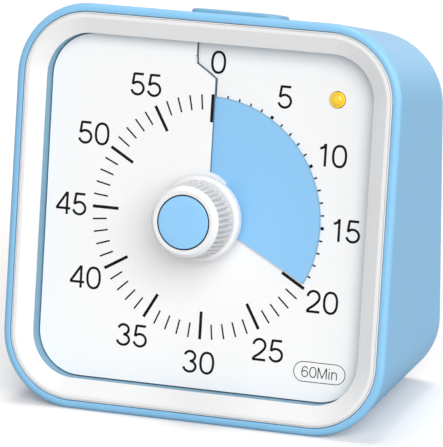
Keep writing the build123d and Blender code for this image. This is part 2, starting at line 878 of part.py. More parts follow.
def make_coil():
    middle = stator_middle + stator_thick / 2 + seam + core_thick / 2
    winding = extrude(Circle(coil_radius), coil_high - coil_low)
    winding = Pos(coil_x, coil_low, middle) * Rot(-90, 0, 0) * winding
    half = core_width / 2 + thread_gap
    tall = core_thick / 2 + thread_gap
    hole = block(
        coil_x - half, coil_x + half, coil_low - past, coil_high + past, middle - tall, middle + tall
    )
    return in_face(winding - hole)


def make_alarm_contact():
    half = contact_width / 2
    return in_face(
        block(
            -contact_length - contact_post, 0, contact_level, contact_level + contact_sheet,
            second_level - half, second_level + half,
        )
    )


# ---------- electronics ----------
def make_main_board():
    body = block(board_left, board_right, board_low, board_high, board_face - board_thick, board_face)
    for at in board_screw_places:
        body -= screw_hole(at, board_face - 2 * board_thick, board_face + past)
    return in_face(body)


def make_control_chip():
    high = board_face - board_thick
    half = chip_size / 2
    y = (board_low + board_high) / 2
    return in_face(block(chip_x - half, chip_x + half, y - half, y + half, high - chip_height, high))


def make_led():
    return in_face(disc(led_radius, board_face, led_top, led_place))


def make_led_lens():
    floor = -tray_floor_depth + seam
    outer = led_radius + led_wall
    dome_top = led_plate + led_proud + led_dome
    body = disc(outer, floor, dome_top, led_place)
    body = fillet(body.faces().sort_by(Axis.Z)[-1].edges(), led_dome + led_proud / 2)
    body += disc(outer + led_flange_rim, floor, floor + led_flange, led_place)
    return in_face(body - disc(led_radius + seam, floor - past, led_top + seam, led_place))


# ---------- top button ----------
def make_top_button():
    shape = RectangleRounded(button_width, button_depth, button_corner)
    body = slab(shape, flange_top, button_proud)
    body = fillet(body.faces().sort_by(Axis.Z)[-1].edges(), button_round)
    rim = RectangleRounded(flange_width, flange_depth, button_corner + button_flange_rim)
    body += slab(rim, flange_low, flange_top)
    return in_top(body + disc(button_depth / 4, stem_low, flange_low))


def make_switch_plunger():
    return in_top(disc(plunger_radius, can_top - plunger_reach, stem_low))


def make_button_switch():
    half = switch_can / 2
    hole_low = can_top - plunger_reach - button_travel - button_play
    body = block(-half, half, -half, half, can_low, can_top)
    return in_top(body - disc(plunger_radius + running, hole_low, can_top + past))


def make_button_board():
    x = small_board_width / 2
    y = small_board_depth / 2
    high = can_low - seam
    body = block(-x, x, -y, y, high - board_thick, high)
    for at in small_board_screw_places:
        body -= screw_hole(at, high - 2 * board_thick, high + past)
    return in_top(body)


# ---------- rear ----------
def bar_along_x(radius, x_low, x_high, height, depth):
    """A cylinder along x in the rear frame."""
    return Pos(x_low, height, depth) * Rot(0, 90, 0) * extrude(Circle(radius), x_high - x_low)


def make_rear_cover():
    body = slab(cover_outline(snug), cover_sink, cover_back)
    half = bay_length / 2
    body += block(
        -half - bay_wall, half + bay_wall, bay_low - bay_wall, bay_top + bay_wall,
        cover_sink, bay_depth + bay_wall,
    )
    body -= block(-half, half, bay_low, bay_top, -past, bay_depth)
    recess = door_half + door_play
    recess_depth = cover_sink + door_thick + door_play
    body -= block(-recess, recess, door_low, door_high, -past, recess_depth)
    pin_end = recess + door_pin_length
    body -= bar_along_x(door_pin_radius + running, -pin_end, pin_end, door_axis_z, door_axis_depth)
    wide = buzzer_radius + snug
    body += ring(
        wide + buzzer_ring, wide, cover_back, cover_back + buzzer_height * 2 / 3, (buzzer_x, buzzer_z)
    )
    for row in range(grille_slots):
        offset = grille_pitch * (row - (grille_slots - 1) / 2)
        chord = math.sqrt(grille_radius ** 2 - offset ** 2)
        slot = Pos(buzzer_x, buzzer_z + offset) * SlotOverall(2 * chord, grille_slot)
        body -= slab(slot, -past, cover_back + past)
    reach_x = slider_travel + slider_length / 2 + slider_play
    reach_z = slider_width / 2 + slider_play
    body -= block(
        switch_x - reach_x, switch_x + reach_x, switch_z - reach_z, switch_z + reach_z,
        -past, cover_sink + slider_sink,
    )
    stem_x = slider_travel + slider_stem / 2 + slider_play
    stem_z = slider_stem / 2 + slider_play
    body -= block(
        switch_x - stem_x, switch_x + stem_x, switch_z - stem_z, switch_z + stem_z, -past, cover_back + past
    )
    for side in (-1, 1):
        near = switch_z + side * (switch_width / 2 + snug)
        low, high = sorted((near, near + side * switch_rib))
        body += block(
            switch_x - switch_length / 2, switch_x + switch_length / 2, low, high,
            cover_back, cover_back + switch_height,
        )
    for at in cover_screw_places:
        body -= disc(head_radius + snug, -past, cover_screw_seat, at)
        body -= screw_hole(at, -past, cover_back + past)
    return in_rear(body)


def make_battery_door():
    low = door_axis_z
    high = door_high - door_play
    near = cover_sink
    far = cover_sink + door_thick
    body = block(-door_half, door_half, low, high, near, far)
    body += bar_along_x(door_thick / 2, -door_half, door_half, door_axis_z, door_axis_depth)
    pin = door_half + door_play + door_pin_length - door_play
    body += bar_along_x(door_pin_radius, -pin, pin, door_axis_z, door_axis_depth)
    grip_top = high - door_grip_height
    body -= block(
        -door_grip_width / 2, door_grip_width / 2, grip_top - door_grip_height, grip_top,
        near - past, near + door_grip_depth,
    )
    return in_rear(body)


def make_cell(height, side):
    """An AAA cell along x with its button towards side."""
    start = -side * (bay_length / 2 - bay_spring_side)
    can_end = start + side * cell_length
    low, high = sorted((start, can_end))
    body = bar_along_x(cell_radius, low, high, height, cell_depth)
    low, high = sorted((start, can_end + side * cell_nub))
    return in_rear(body + bar_along_x(cell_nub_radius, low, high, height, cell_depth))


def terminal_plate(side, height_low, height_high):
    half = terminal_width / 2
    low, high = sorted(
        (side * (bay_length / 2 - seam), side * (bay_length / 2 - seam - terminal_sheet))
    )
    return block(low, high, height_low - half, height_high + half, cell_depth - half, cell_depth + half)


def terminal_bump(side, height):
    face = bay_length / 2 - seam - terminal_sheet
    tip = bay_length / 2 - bay_bump_side + seam
    low, high = sorted((side * face, side * tip))
    return bar_along_x(cell_nub_radius, low, high, height, cell_depth)


def terminal_leaf(side, height):
    """A folded leaf spring that bears on the flat end of a cell."""
    face = side * (bay_length / 2 - seam - terminal_sheet)
    tip = side * (bay_length / 2 - bay_spring_side + seam)
    half = terminal_width / 2
    fold = side * terminal_sheet
    outline = Polygon(
        (face, height - half), (tip, height), (face, height + half),
        (face, height + half - terminal_sheet), (tip + fold, height),
        (face, height - half + terminal_sheet), align=None,
    )
    return slab(outline, cell_depth - half / 2, cell_depth + half / 2)


def make_buzzer():
    low = cover_back + seam
    return in_rear(disc(buzzer_radius, low, low + buzzer_height, (buzzer_x, buzzer_z)))


def make_sound_switch():
    low = cover_back + seam
    x = switch_length / 2
    z = switch_width / 2
    body = block(switch_x - x, switch_x + x, switch_z - z, switch_z + z, low, low + switch_height)
    stem_x = slider_travel + slider_stem / 2 + slider_play
    stem_z = slider_stem / 2 + slider_play
    return in_rear(
        body - block(
            switch_x - stem_x, switch_x + stem_x, switch_z - stem_z, switch_z + stem_z,
            low - past, low + slider_reach + slider_play,
        )
    )


def make_sound_slider():
    x = slider_length / 2
    z = slider_width / 2
    thumb_back = cover_sink + slider_sink - slider_play
    body = block(
        switch_x - x, switch_x + x, switch_z - z, switch_z + z, cover_sink - slider_proud, thumb_back
    )
    half = slider_stem / 2
    return in_rear(
        body + block(
            switch_x - half, switch_x + half, switch_z - half, switch_z + half,
            thumb_back, cover_back + seam + slider_reach,
        )
    )


# ---------- screws ----------
def make_tray_screws():
    seat = -tray_floor_depth - head_height
    return [in_face(Pos(*at) * pan_screw(seat, seat - screw_length)) for at in tray_screw_places]


def make_movement_screws():
    seat = ear_low
    return [in_face(Pos(*at) * pan_screw(seat, seat + screw_length)) for at in ear_places]


def make_board_screws():
    seat = board_face - board_thick
    length = board_thick + board_stand + seam + tray_floor / 2
    return [in_face(Pos(*at) * pan_screw(seat, seat + length)) for at in board_screw_places]


def make_button_board_screws():
    seat = can_low - seam - board_thick
    return [in_top(Pos(*at) * pan_screw(seat, seat + screw_length)) for at in small_board_screw_places]


def make_cover_screws():
    seat = cover_screw_seat
    return [in_rear(Pos(*at) * pan_screw(seat, seat + screw_length)) for at in cover_screw_places]


# ---------- all nodes ----------
parts = {
    "main_housing": make_main_housing(),
    "front_bezel": make_front_bezel(),
    "dial_tray": make_dial_tray(),
    "dial_plate": make_dial_plate(),
    "time_disc": make_time_disc(),
    "disc_hub": make_disc_hub(),
    "knob": make_knob(),
    "knob_cap": make_knob_cap(),
    "knob_screw": in_face(pan_screw(knob_screw_seat, knob_screw_seat - screw_length)),
    "dial_shaft": make_dial_shaft(),
    "main_wheel": make_main_wheel(),
    "clutch_spring": make_clutch_spring(),
    "clutch_washer": make_clutch_washer(),
    "alarm_cam": make_alarm_cam(),
    "third_wheel": make_third_wheel(),
    "fourth_wheel": make_fourth_wheel(),
    "rotor_pinion": make_rotor_pinion(),
    "rotor_magnet": make_rotor_magnet(),
    "movement_case": make_movement_case(),
    "movement_cover": make_movement_cover(),
    "stator": make_stator(),
    "coil_core": make_coil_core(),
    "coil": make_coil(),
    "alarm_contact": make_alarm_contact(),
    "main_board": make_main_board(),
    "control_chip": make_control_chip(),
    "led": make_led(),
    "led_lens": make_led_lens(),
    "top_button": make_top_button(),
    "switch_plunger": make_switch_plunger(),
    "button_switch": make_button_switch(),
    "button_board": make_button_board(),
    "rear_cover": make_rear_cover(),
    "battery_door": make_battery_door(),
    "lower_cell": make_cell(cell_heights[0], 1),
    "upper_cell": make_cell(cell_heights[1], -1),
    "positive_terminal": in_rear(
        terminal_plate(1, cell_heights[0], cell_heights[0]) + terminal_bump(1, cell_heights[0])
    ),
    "negative_terminal": in_rear(
        terminal_plate(1, cell_heights[1], cell_heights[1]) + terminal_leaf(1, cell_heights[1])
    ),
    "bridge_terminal": in_rear(
        terminal_plate(-1, *cell_heights)
        + terminal_leaf(-1, cell_heights[0])
        + terminal_bump(-1, cell_heights[1])
    ),
    "buzzer": make_buzzer(),
    "sound_switch": make_sound_switch(),
    "sound_slider": make_sound_slider(),
    "tray_screws": make_tray_screws(),
    "movement_screws": make_movement_screws(),
    "board_screws": make_board_screws(),
    "button_board_screws": make_button_board_screws(),
    "cover_screws": make_cover_screws(),
}
for number, pad in enumerate(make_pads(), start=1):
    parts[f"anti_slip_pad_{number}"] = pad

os.makedirs("parts", exist_ok=True)
for name, shape in parts.items():
    solids = shape if isinstance(shape, list) else [shape]
    solids = [solid for item in solids for solid in item.solids()]
    export_step(solids[0] if len(solids) == 1 else Compound(solids), f"parts/{name}.step")
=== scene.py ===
import math
import bpy
import numpy as np
from mathutils import Matrix, Vector


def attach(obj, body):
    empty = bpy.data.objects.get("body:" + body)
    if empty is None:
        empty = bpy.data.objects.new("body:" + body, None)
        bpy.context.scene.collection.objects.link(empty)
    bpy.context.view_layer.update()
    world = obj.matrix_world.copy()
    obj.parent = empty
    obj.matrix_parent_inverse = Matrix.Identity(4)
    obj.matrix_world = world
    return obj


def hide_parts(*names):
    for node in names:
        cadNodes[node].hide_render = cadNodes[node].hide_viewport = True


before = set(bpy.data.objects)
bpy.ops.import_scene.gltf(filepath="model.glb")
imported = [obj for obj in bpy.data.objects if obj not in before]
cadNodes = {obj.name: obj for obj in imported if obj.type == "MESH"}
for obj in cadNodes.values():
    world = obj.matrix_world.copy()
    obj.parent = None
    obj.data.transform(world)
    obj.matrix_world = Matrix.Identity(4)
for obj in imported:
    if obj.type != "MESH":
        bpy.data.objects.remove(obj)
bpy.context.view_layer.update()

# Sizes are in mm, x right, y back, z up from the middle of the base; addMesh makes them metres.
case = {
    "faceWidth": 86.0, "faceHeight": 86.5, "faceCorner": 16.0, "lean": 9.59,
    "baseDepth": 46.2, "rearWidth": 82.4, "rearHeight": 76.6, "rearCorner": 15.0,
    "frontRound": 1.2, "rearRound": 2.5, "rimWidth": 1.7, "pocketDepth": 3.4,
    "coverInset": 3.4, "coverDepth": 2.95, "rearWall": 4.6, "frontWall": 2.8,
    "buttonBack": 17.51,
}
lean = math.radians(case["lean"])
faceY = (-case["baseDepth"] / 2 + case["faceHeight"] / 2 * math.sin(lean)
         - case["frontRound"] * math.cos(lean))
faceZ = case["faceHeight"] / 2 * math.cos(lean) + case["frontRound"] * math.sin(lean)
rearY = case["baseDepth"] / 2
topFront = (faceY + case["faceHeight"] / 2 * math.sin(lean) + case["frontRound"] * math.cos(lean),
            faceZ + case["faceHeight"] / 2 * math.cos(lean) - case["frontRound"] * math.sin(lean))
slope = math.atan2(topFront[1] - case["rearHeight"], rearY - topFront[0])
topOrigin = (topFront[0] + case["buttonBack"] * math.cos(slope),
             topFront[1] - case["buttonBack"] * math.sin(slope))

# The dial plate and the film are helices of one pitch round the shaft, half a pitch apart.
dial = {
    "depth": 5.13, "pitch": 1.4, "sheet": 0.5, "hubHole": 6.2,
    "tongue": ((0.0, 9.5), (15.0, 9.13), (27.0, 8.75), (29.5, 8.5)),
    "film": 0.3, "filmInner": 5.22, "filmRadius": 25.5, "filmSweep": 348.8, "filmLead": 118.2,
    "slit": ((0.45, 0.0), (0.45, 29.4), (-4.2, 32.4), (-4.2, 40.0)), "gap": 0.26,
    "filmRows": 176, "filmColumns": 6,
}
filmLevel = -dial["depth"] - dial["sheet"] / 2

# The smallest radius drawn, so that no ring closes to a point
axisGap = 0.02


def faceAt(u, v, w):
    # dial frame: u right, v up the face, w out of it; a turn about x by the lean
    u, v, w = np.broadcast_arrays(u, v, w)
    y = faceY + v * math.sin(lean) - w * math.cos(lean)
    z = faceZ + v * math.cos(lean) + w * math.sin(lean)
    return np.stack([u, y, z], -1)


def rearAt(x, z, depth):
    # rear frame: depth counts into the case from the rear face
    x, z, depth = np.broadcast_arrays(x, z, depth)
    return np.stack([x, rearY - depth, z], -1)


def topAt(x, back, out):
    # button frame: back runs down the sloping top, out leaves it at right angles
    x, back, out = np.broadcast_arrays(x, back, out)
    y = topOrigin[0] + back * math.cos(slope) + out * math.sin(slope)
    z = topOrigin[1] - back * math.sin(slope) + out * math.cos(slope)
    return np.stack([x, y, z], -1)


def baseAt(x, y, down):
    # base frame: down counts from the surface the timer stands on
    x, y, down = np.broadcast_arrays(x, y, down)
    return np.stack([x, y, -down], -1)


def plateTop(degrees):
    # front of the dial plate: it rises by one pitch in a clockwise turn from the slit
    return -dial["depth"] + dial["pitch"] * (degrees / 360.0 - 0.5)


def gridQuads(rows, cols, closeRows, closeCols):
    # four neighbours of every cell; a closed direction joins its last line to its first
    i, j = np.meshgrid(np.arange(rows if closeRows else rows - 1),
                       np.arange(cols if closeCols else cols - 1), indexing="ij")
    ahead, beside = (i + 1) % rows, (j + 1) % cols
    corners = (i * cols + j, i * cols + beside, ahead * cols + beside, ahead * cols + j)
    return np.stack(corners, -1).reshape(-1, 4)


def closedVolume(points, quads, caps):
    # six times the volume: the sum of a . (b x c) over fans of triangles
    total = 0.0
    for loops in [quads] + [np.array([cap]) for cap in caps]:
        first = points[loops[:, :1]]
        middle, last = points[loops[:, 1:-1]], points[loops[:, 2:]]
        total += float((first * np.cross(middle, last)).sum())
    return total


def endCaps(rows, cols, kind):
    # faces over the first and last rows: one polygon each, or a strip across a sheet's edge
    if not kind:
        return []
    j = np.arange(cols // 2 - 1)
    loops = list(np.stack([j, j + 1, cols - 2 - j, cols - 1 - j], 1)) if kind == "strip" else [np.arange(cols)]
    return [loop[::-1] for loop in loops] + [(rows - 1) * cols + loop for loop in loops]


def joinGrids(grids):
    # several closed grids in one mesh, each (points, closeRows, closeCols, caps), all facing out
    points, faces, start = [], [], 0
    for grid, closeRows, closeCols, kind in grids:
        rows, cols = grid.shape[:2]
        flat = grid.reshape(-1, 3)
        quads = gridQuads(rows, cols, closeRows, closeCols)
        caps = endCaps(rows, cols, kind)
        turned = closedVolume(flat - flat.mean(0), quads, caps) < 0
        for loop in [*quads, *caps]:
            faces.append((start + (loop[::-1] if turned else loop)).tolist())
        points.append(flat)
        start += rows * cols
    return np.concatenate(points), faces


def cappedRun(grid):
    # one grid whose columns close and whose end rows are capped
    return joinGrids([(grid, False, True, "whole")])


def closedRing(grid):
    # one grid that closes in both directions
    return joinGrids([(grid, True, True, "")])


def addMesh(name, surface):
    # one mesh object from points in mm and faces
    points, faces = surface
    mesh = bpy.data.meshes.new(name)
    mesh.from_pydata((np.asarray(points, float) * 0.001).tolist(), [], faces)
    mesh.validate()
    piece = bpy.data.objects.new(name, mesh)
    bpy.context.scene.collection.objects.link(piece)
    return piece


def smoothBelow(piece, degrees):
    piece.data.shade_smooth()
    piece.data.set_sharp_from_angle(angle=math.radians(degrees))


def addSurface(name, surface, material, body, replaced=(), cutters=(), sharp=35.0):
    # a finished piece: its mesh, less the cutters, with the named finish and body; the CAD nodes it replaces are
    # hidden
    piece = addMesh(name, surface)
    piece.data.materials.append(finish[material])
    if cutters:
        cutAway(piece, cutters)
        # the broad faces set the shading where the cut has left narrow ones
        lead = piece.modifiers.new("broadFacesLead", "WEIGHTED_NORMAL")
        lead.weight, lead.keep_sharp = 90, True
    smoothBelow(piece, sharp)
    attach(piece, body)
    if replaced:
        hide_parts(*replaced)
    return piece


def cutAway(piece, cutters):
    # each cutter's volume is taken out of the piece for good
    for cutter in cutters:
        step = piece.modifiers.new(cutter.name, "BOOLEAN")
        step.operation = "DIFFERENCE"
        step.solver = "EXACT"
        step.object = cutter
    shown = piece.evaluated_get(bpy.context.evaluated_depsgraph_get())
    result = bpy.data.meshes.new_from_object(shown)
    piece.modifiers.clear()
    piece.data = result
    for cutter in cutters:
        bpy.data.objects.remove(cutter)


def roundedLoop(width, height, corner, along=7, around=20):
    # rounded rectangle, anticlockwise: straight sides between quarter circles, always with
    # the same number of points, so that loops of any size join row by row
    halfW, halfH = width / 2, height / 2
    stops = np.linspace(-1, 1, along)
    arc = np.linspace(0, math.pi / 2, around + 1)[1:-1]
    runs = []
    for quarter in range(4):
        outward, reach = (halfW, halfH - corner) if quarter % 2 == 0 else (halfH, halfW - corner)
        side = np.stack([np.full(along, outward), stops * reach], -1)
        bend = np.array([outward - corner, reach]) + corner * np.stack([np.cos(arc), np.sin(arc)], -1)
        c, s = math.cos(quarter * math.pi / 2), math.sin(quarter * math.pi / 2)
        runs.append(np.concatenate([side, bend]) @ np.array([[c, s], [-s, c]]))
    return np.concatenate(runs)


def insetSize(size, inset):
    # a rounded rectangle of (width, height, corner) drawn in by inset all round
    return size[0] - 2 * inset, size[1] - 2 * inset, size[2] - inset


def sweepRound(size, profile, frameAt):
    # a profile of (inset, height) carried round a rounded rectangle of (width, height, corner)
    rows = []
    for inset, height in profile:
        loop = roundedLoop(size[0] - 2 * inset, size[1] - 2 * inset, max(size[2] - inset, axisGap))
        rows.append(frameAt(loop[:, 0], loop[:, 1], height))
    return np.stack(rows)


def filletProfile(corners, steps=4, closed=True):
    # a run of (x, y, radius) corners, each rounded by a true arc: a rational quadratic curve
    # whose middle weight is the sine of half the corner's opening
    out = []
    count = len(corners)
    for k, (x, y, radius) in enumerate(corners):
        here = np.array([x, y], float)
        if radius <= 0 or (not closed and k in (0, count - 1)):
            out.append(here)
            continue
        back = np.array(corners[k - 1][:2], float) - here
        ahead = np.array(corners[(k + 1) % count][:2], float) - here
        back /= np.linalg.norm(back)
        ahead /= np.linalg.norm(ahead)
        half = math.acos(np.clip(back @ ahead, -1, 1)) / 2
        reach = radius / math.tan(half)
        t = np.linspace(0, 1, steps + 1)[:, None]
        share = ((1 - t) ** 2, 2 * math.sin(half) * t * (1 - t), t ** 2)
        run = share[0] * (here + back * reach) + share[1] * here + share[2] * (here + ahead * reach)
        out.extend(run / (share[0] + share[1] + share[2]))
    return np.array(out)


def revolve(place, profile, frameAt, segments=96, ripple=None):
    # a profile of (radius, height) turned round an axis through place;
    # ripple(radius, height, angle) is taken off the radius
    angle = np.linspace(0, 2 * math.pi, segments, endpoint=False)[None, :]
    radius, height = profile[:, :1], profile[:, 1:2] + 0 * angle
    if ripple:
        radius = radius - ripple(radius, height, angle)
    return frameAt(place[0] + radius * np.cos(angle), place[1] + radius * np.sin(angle), height)


def slabGrid(front, back):
    # a sheet's front and back grids joined round their edges; its two end rows take the caps
    return np.concatenate([front, back[:, ::-1]], 1), False, True, "strip"


def newGroup(name, inputs, outputs):
    # an empty node group with sockets for colours and numbers, and the object's own coordinates
    group = bpy.data.node_groups.new(name, "ShaderNodeTree")
    for label, value in inputs.items():
        kind = "NodeSocketColor" if isinstance(value, tuple) else "NodeSocketFloat"
        group.interface.new_socket(name=label, in_out="INPUT", socket_type=kind).default_value = value
    for label, kind in outputs.items():
        group.interface.new_socket(name=label, in_out="OUTPUT", socket_type=kind)
    entry, leave = group.nodes.new("NodeGroupInput"), group.nodes.new("NodeGroupOutput")
    coords = group.nodes.new("ShaderNodeTexCoord").outputs["Object"]
    return group, entry.outputs, leave.inputs, coords


def setOrLink(tree, socket, value):
    # an output is linked to the socket, anything else becomes the socket's own value
    if hasattr(value, "links"):
        tree.links.new(value, socket)
    else:
        socket.default_value = value


def mathNode(tree, operation, first, second, clamp=False):
    node = tree.nodes.new("ShaderNodeMath")
    node.operation = operation
    node.use_clamp = clamp
    setOrLink(tree, node.inputs[0], first)
    setOrLink(tree, node.inputs[1], second)
    return node.outputs[0]


def noiseNode(tree, coords, scale, detail, roughness):
    node = tree.nodes.new("ShaderNodeTexNoise")
    for label, value in (("Vector", coords), ("Scale", scale), ("Detail", detail), ("Roughness", roughness)):
        setOrLink(tree, node.inputs[label], value)
    return node.outputs["Fac"]


def mixColour(tree, factor, first, second):
    node = tree.nodes.new("ShaderNodeMix")
    node.data_type = "RGBA"
    for socket, value in ((node.inputs["Factor"], factor), (node.inputs[6], first), (node.inputs[7], second)):
        setOrLink(tree, socket, value)
    return node.outputs[2]


def swing(tree, noise, width, middle=0.5):
    # how far a noise is from its middle, times width
    return mathNode(tree, "MULTIPLY", mathNode(tree, "SUBTRACT", noise, middle), width)


def scaleTone(tree, tone, share):
    node = tree.nodes.new("ShaderNodeVectorMath")
    node.operation = "SCALE"
    tree.links.new(tone, node.inputs[0])
    tree.links.new(share, node.inputs["Scale"])
    return node.outputs[0]


def bumpNode(tree, height, strength, distance):
    node = tree.nodes.new("ShaderNodeBump")
    node.inputs["Distance"].default_value = distance
    setOrLink(tree, node.inputs["Strength"], strength)
    tree.links.new(height, node.inputs["Height"])
    return node.outputs["Normal"]


# What a group that drives a whole surface gives
surfaceOutputs = {"Colour": "NodeSocketColor", "Roughness": "NodeSocketFloat", "Normal": "NodeSocketVector"}

# Noise values are scale, detail and roughness; fine and lines take their scale from the finish.
mould = {"fine": (2.0, 0.6), "cloud": (60.0, 3.0, 0.5), "specks": (900.0, 2.0, 0.7), "speckShare": 0.5,
         "bumpDistance": 0.00002}
wear = {"noise": (420.0, 4.0, 0.65), "steepness": 4.0, "bevelSamples": 4}
drawn = {"lines": (3.0, 0.6), "stretch": (0.08, 1.0, 1.0), "dimmest": 0.9, "toneSpan": 0.2,
         "bumpStrength": 0.08, "bumpDistance": 0.00001}


def makeMouldedGrain():
    # spark-eroded mould texture: fine noise makes the pits, slow noise and specks move the tone,
    # fine and slow noise together move the gloss
    group, entry, leave, coords = newGroup("mouldedGrain", {
        "Tone": (0.5, 0.5, 0.5, 1),
        "Grain Scale": 3000.0,
        "Grain Depth": 0.1,
        "Gloss Centre": 0.4,
        "Gloss Spread": 0.1,
        "Tone Spread": 0.03,
    }, surfaceOutputs)
    fine = noiseNode(group, coords, entry["Grain Scale"], *mould["fine"])
    cloud = noiseNode(group, coords, *mould["cloud"])
    specks = noiseNode(group, coords, *mould["specks"])
    shift = swing(group, cloud, entry["Tone Spread"])
    speckSpread = mathNode(group, "MULTIPLY", entry["Tone Spread"], mould["speckShare"])
    speckShift = swing(group, specks, speckSpread)
    brightness = mathNode(group, "ADD", 1.0, mathNode(group, "ADD", shift, speckShift))
    group.links.new(scaleTone(group, entry["Tone"], brightness), leave["Colour"])
    spread = swing(group, mathNode(group, "ADD", fine, cloud), entry["Gloss Spread"], 1.0)
    group.links.new(mathNode(group, "ADD", entry["Gloss Centre"], spread, True), leave["Roughness"])
    group.links.new(bumpNode(group, fine, entry["Grain Depth"], mould["bumpDistance"]), leave["Normal"])
    return group


def makeEdgeRub():
    # handling wear: one minus the dot product of the rounded and the true normal, times a steepness
    # and a noise, mixes in the rubbed tone
    group, entry, leave, coords = newGroup("edgeRub", {
        "Colour": (0.5, 0.5, 0.5, 1),
        "Rubbed": (0.8, 0.8, 0.8, 1),
        "Width": 0.0004,
        "Amount": 0.3,
    }, {"Colour": "NodeSocketColor"})
    bevel = group.nodes.new("ShaderNodeBevel")
    bevel.samples = wear["bevelSamples"]
    group.links.new(entry["Width"], bevel.inputs["Radius"])
    shape = group.nodes.new("ShaderNodeNewGeometry")
    dot = group.nodes.new("ShaderNodeVectorMath")
    dot.operation = "DOT_PRODUCT"
    group.links.new(bevel.outputs["Normal"], dot.inputs[0])
    group.links.new(shape.outputs["Normal"], dot.inputs[1])
    turned = mathNode(group, "SUBTRACT", 1.0, dot.outputs["Value"], True)
    broken = noiseNode(group, coords, *wear["noise"])
    strength = mathNode(group, "MULTIPLY", mathNode(group, "MULTIPLY", turned, wear["steepness"], True),
                        mathNode(group, "MULTIPLY", broken, entry["Amount"]), True)
    group.links.new(mixColour(group, strength, entry["Colour"], entry["Rubbed"]), leave["Colour"])
    return group


def makeDrawnMetal():
    # drawn or turned metal: noise stretched along one axis drives tone, gloss and a slight bump
    group, entry, leave, coords = newGroup("drawnMetal", {
        "Tone": (0.6, 0.6, 0.6, 1),
        "Line Scale": 2500.0,
        "Gloss Centre": 0.3,
        "Gloss Spread": 0.2,
    }, surfaceOutputs)
    stretch = group.nodes.new("ShaderNodeMapping")
    stretch.inputs["Scale"].default_value = drawn["stretch"]
    group.links.new(coords, stretch.inputs["Vector"])
    lines = noiseNode(group, stretch.outputs[0], entry["Line Scale"], *drawn["lines"])
    brightness = mathNode(group, "ADD", drawn["dimmest"], mathNode(group, "MULTIPLY", lines, drawn["toneSpan"]))
    group.links.new(scaleTone(group, entry["Tone"], brightness), leave["Colour"])
    spread = swing(group, lines, entry["Gloss Spread"])
    group.links.new(mathNode(group, "ADD", entry["Gloss Centre"], spread, True), leave["Roughness"])
    group.links.new(bumpNode(group, lines, drawn["bumpStrength"], drawn["bumpDistance"]), leave["Normal"])
    return group


mouldedGrain = makeMouldedGrain()
edgeRub = makeEdgeRub()
drawnMetal = makeDrawnMetal()


def newFinish(name, tone, group, values):
    # a material whose group drives the shader's colour, roughness and normal
    material = bpy.data.materials.new(name)
    material.use_nodes = True
    material.diffuse_color = (*tone, 1)
    tree = material.node_tree
    shader = tree.nodes["Principled BSDF"]
    driver = tree.nodes.new("ShaderNodeGroup")
    driver.node_tree = group
    driver.inputs["Tone"].default_value = (*tone, 1)
    for label, value in values.items():
        driver.inputs[label].default_value = value
    for given, taken in (("Colour", "Base Color"), ("Roughness", "Roughness"), ("Normal", "Normal")):
        tree.links.new(driver.outputs[given], shader.inputs[taken])
    return material, tree, shader, driver.outputs["Colour"]


def plasticMaterial(name, tone, rubbed, grain, settings):
    # moulded plastic: the grain group, with edge wear over its colour where a rubbed tone is given
    material, tree, shader, colour = newFinish(name, tone, mouldedGrain, dict(zip(grainLabels, grain)))
    if rubbed:
        rub = tree.nodes.new("ShaderNodeGroup")
        rub.node_tree = edgeRub
        rub.inputs["Rubbed"].default_value = (*rubbed, 1)
        rub.inputs["Width"].default_value = settings.get("Rub Width", 0.0004)
        rub.inputs["Amount"].default_value = settings.get("Rub Amount", 0.3)
        tree.links.new(colour, rub.inputs["Colour"])
        tree.links.new(rub.outputs["Colour"], shader.inputs["Base Color"])
    shader.inputs["IOR"].default_value = 1.5
    shader.inputs["Specular IOR Level"].default_value = settings.get("Specular", 0.5)
    shader.inputs["Coat Weight"].default_value = settings.get("Coat", 0.0)
    shader.inputs["Coat Roughness"].default_value = settings.get("Coat Roughness", 0.1)
    return material


def metalMaterial(name, tone, values):
    # bare metal: the drawn metal group on a metallic shader
    material, _, shader, _ = newFinish(name, tone, drawnMetal, values)
    shader.inputs["Metallic"].default_value = 1.0
    return material


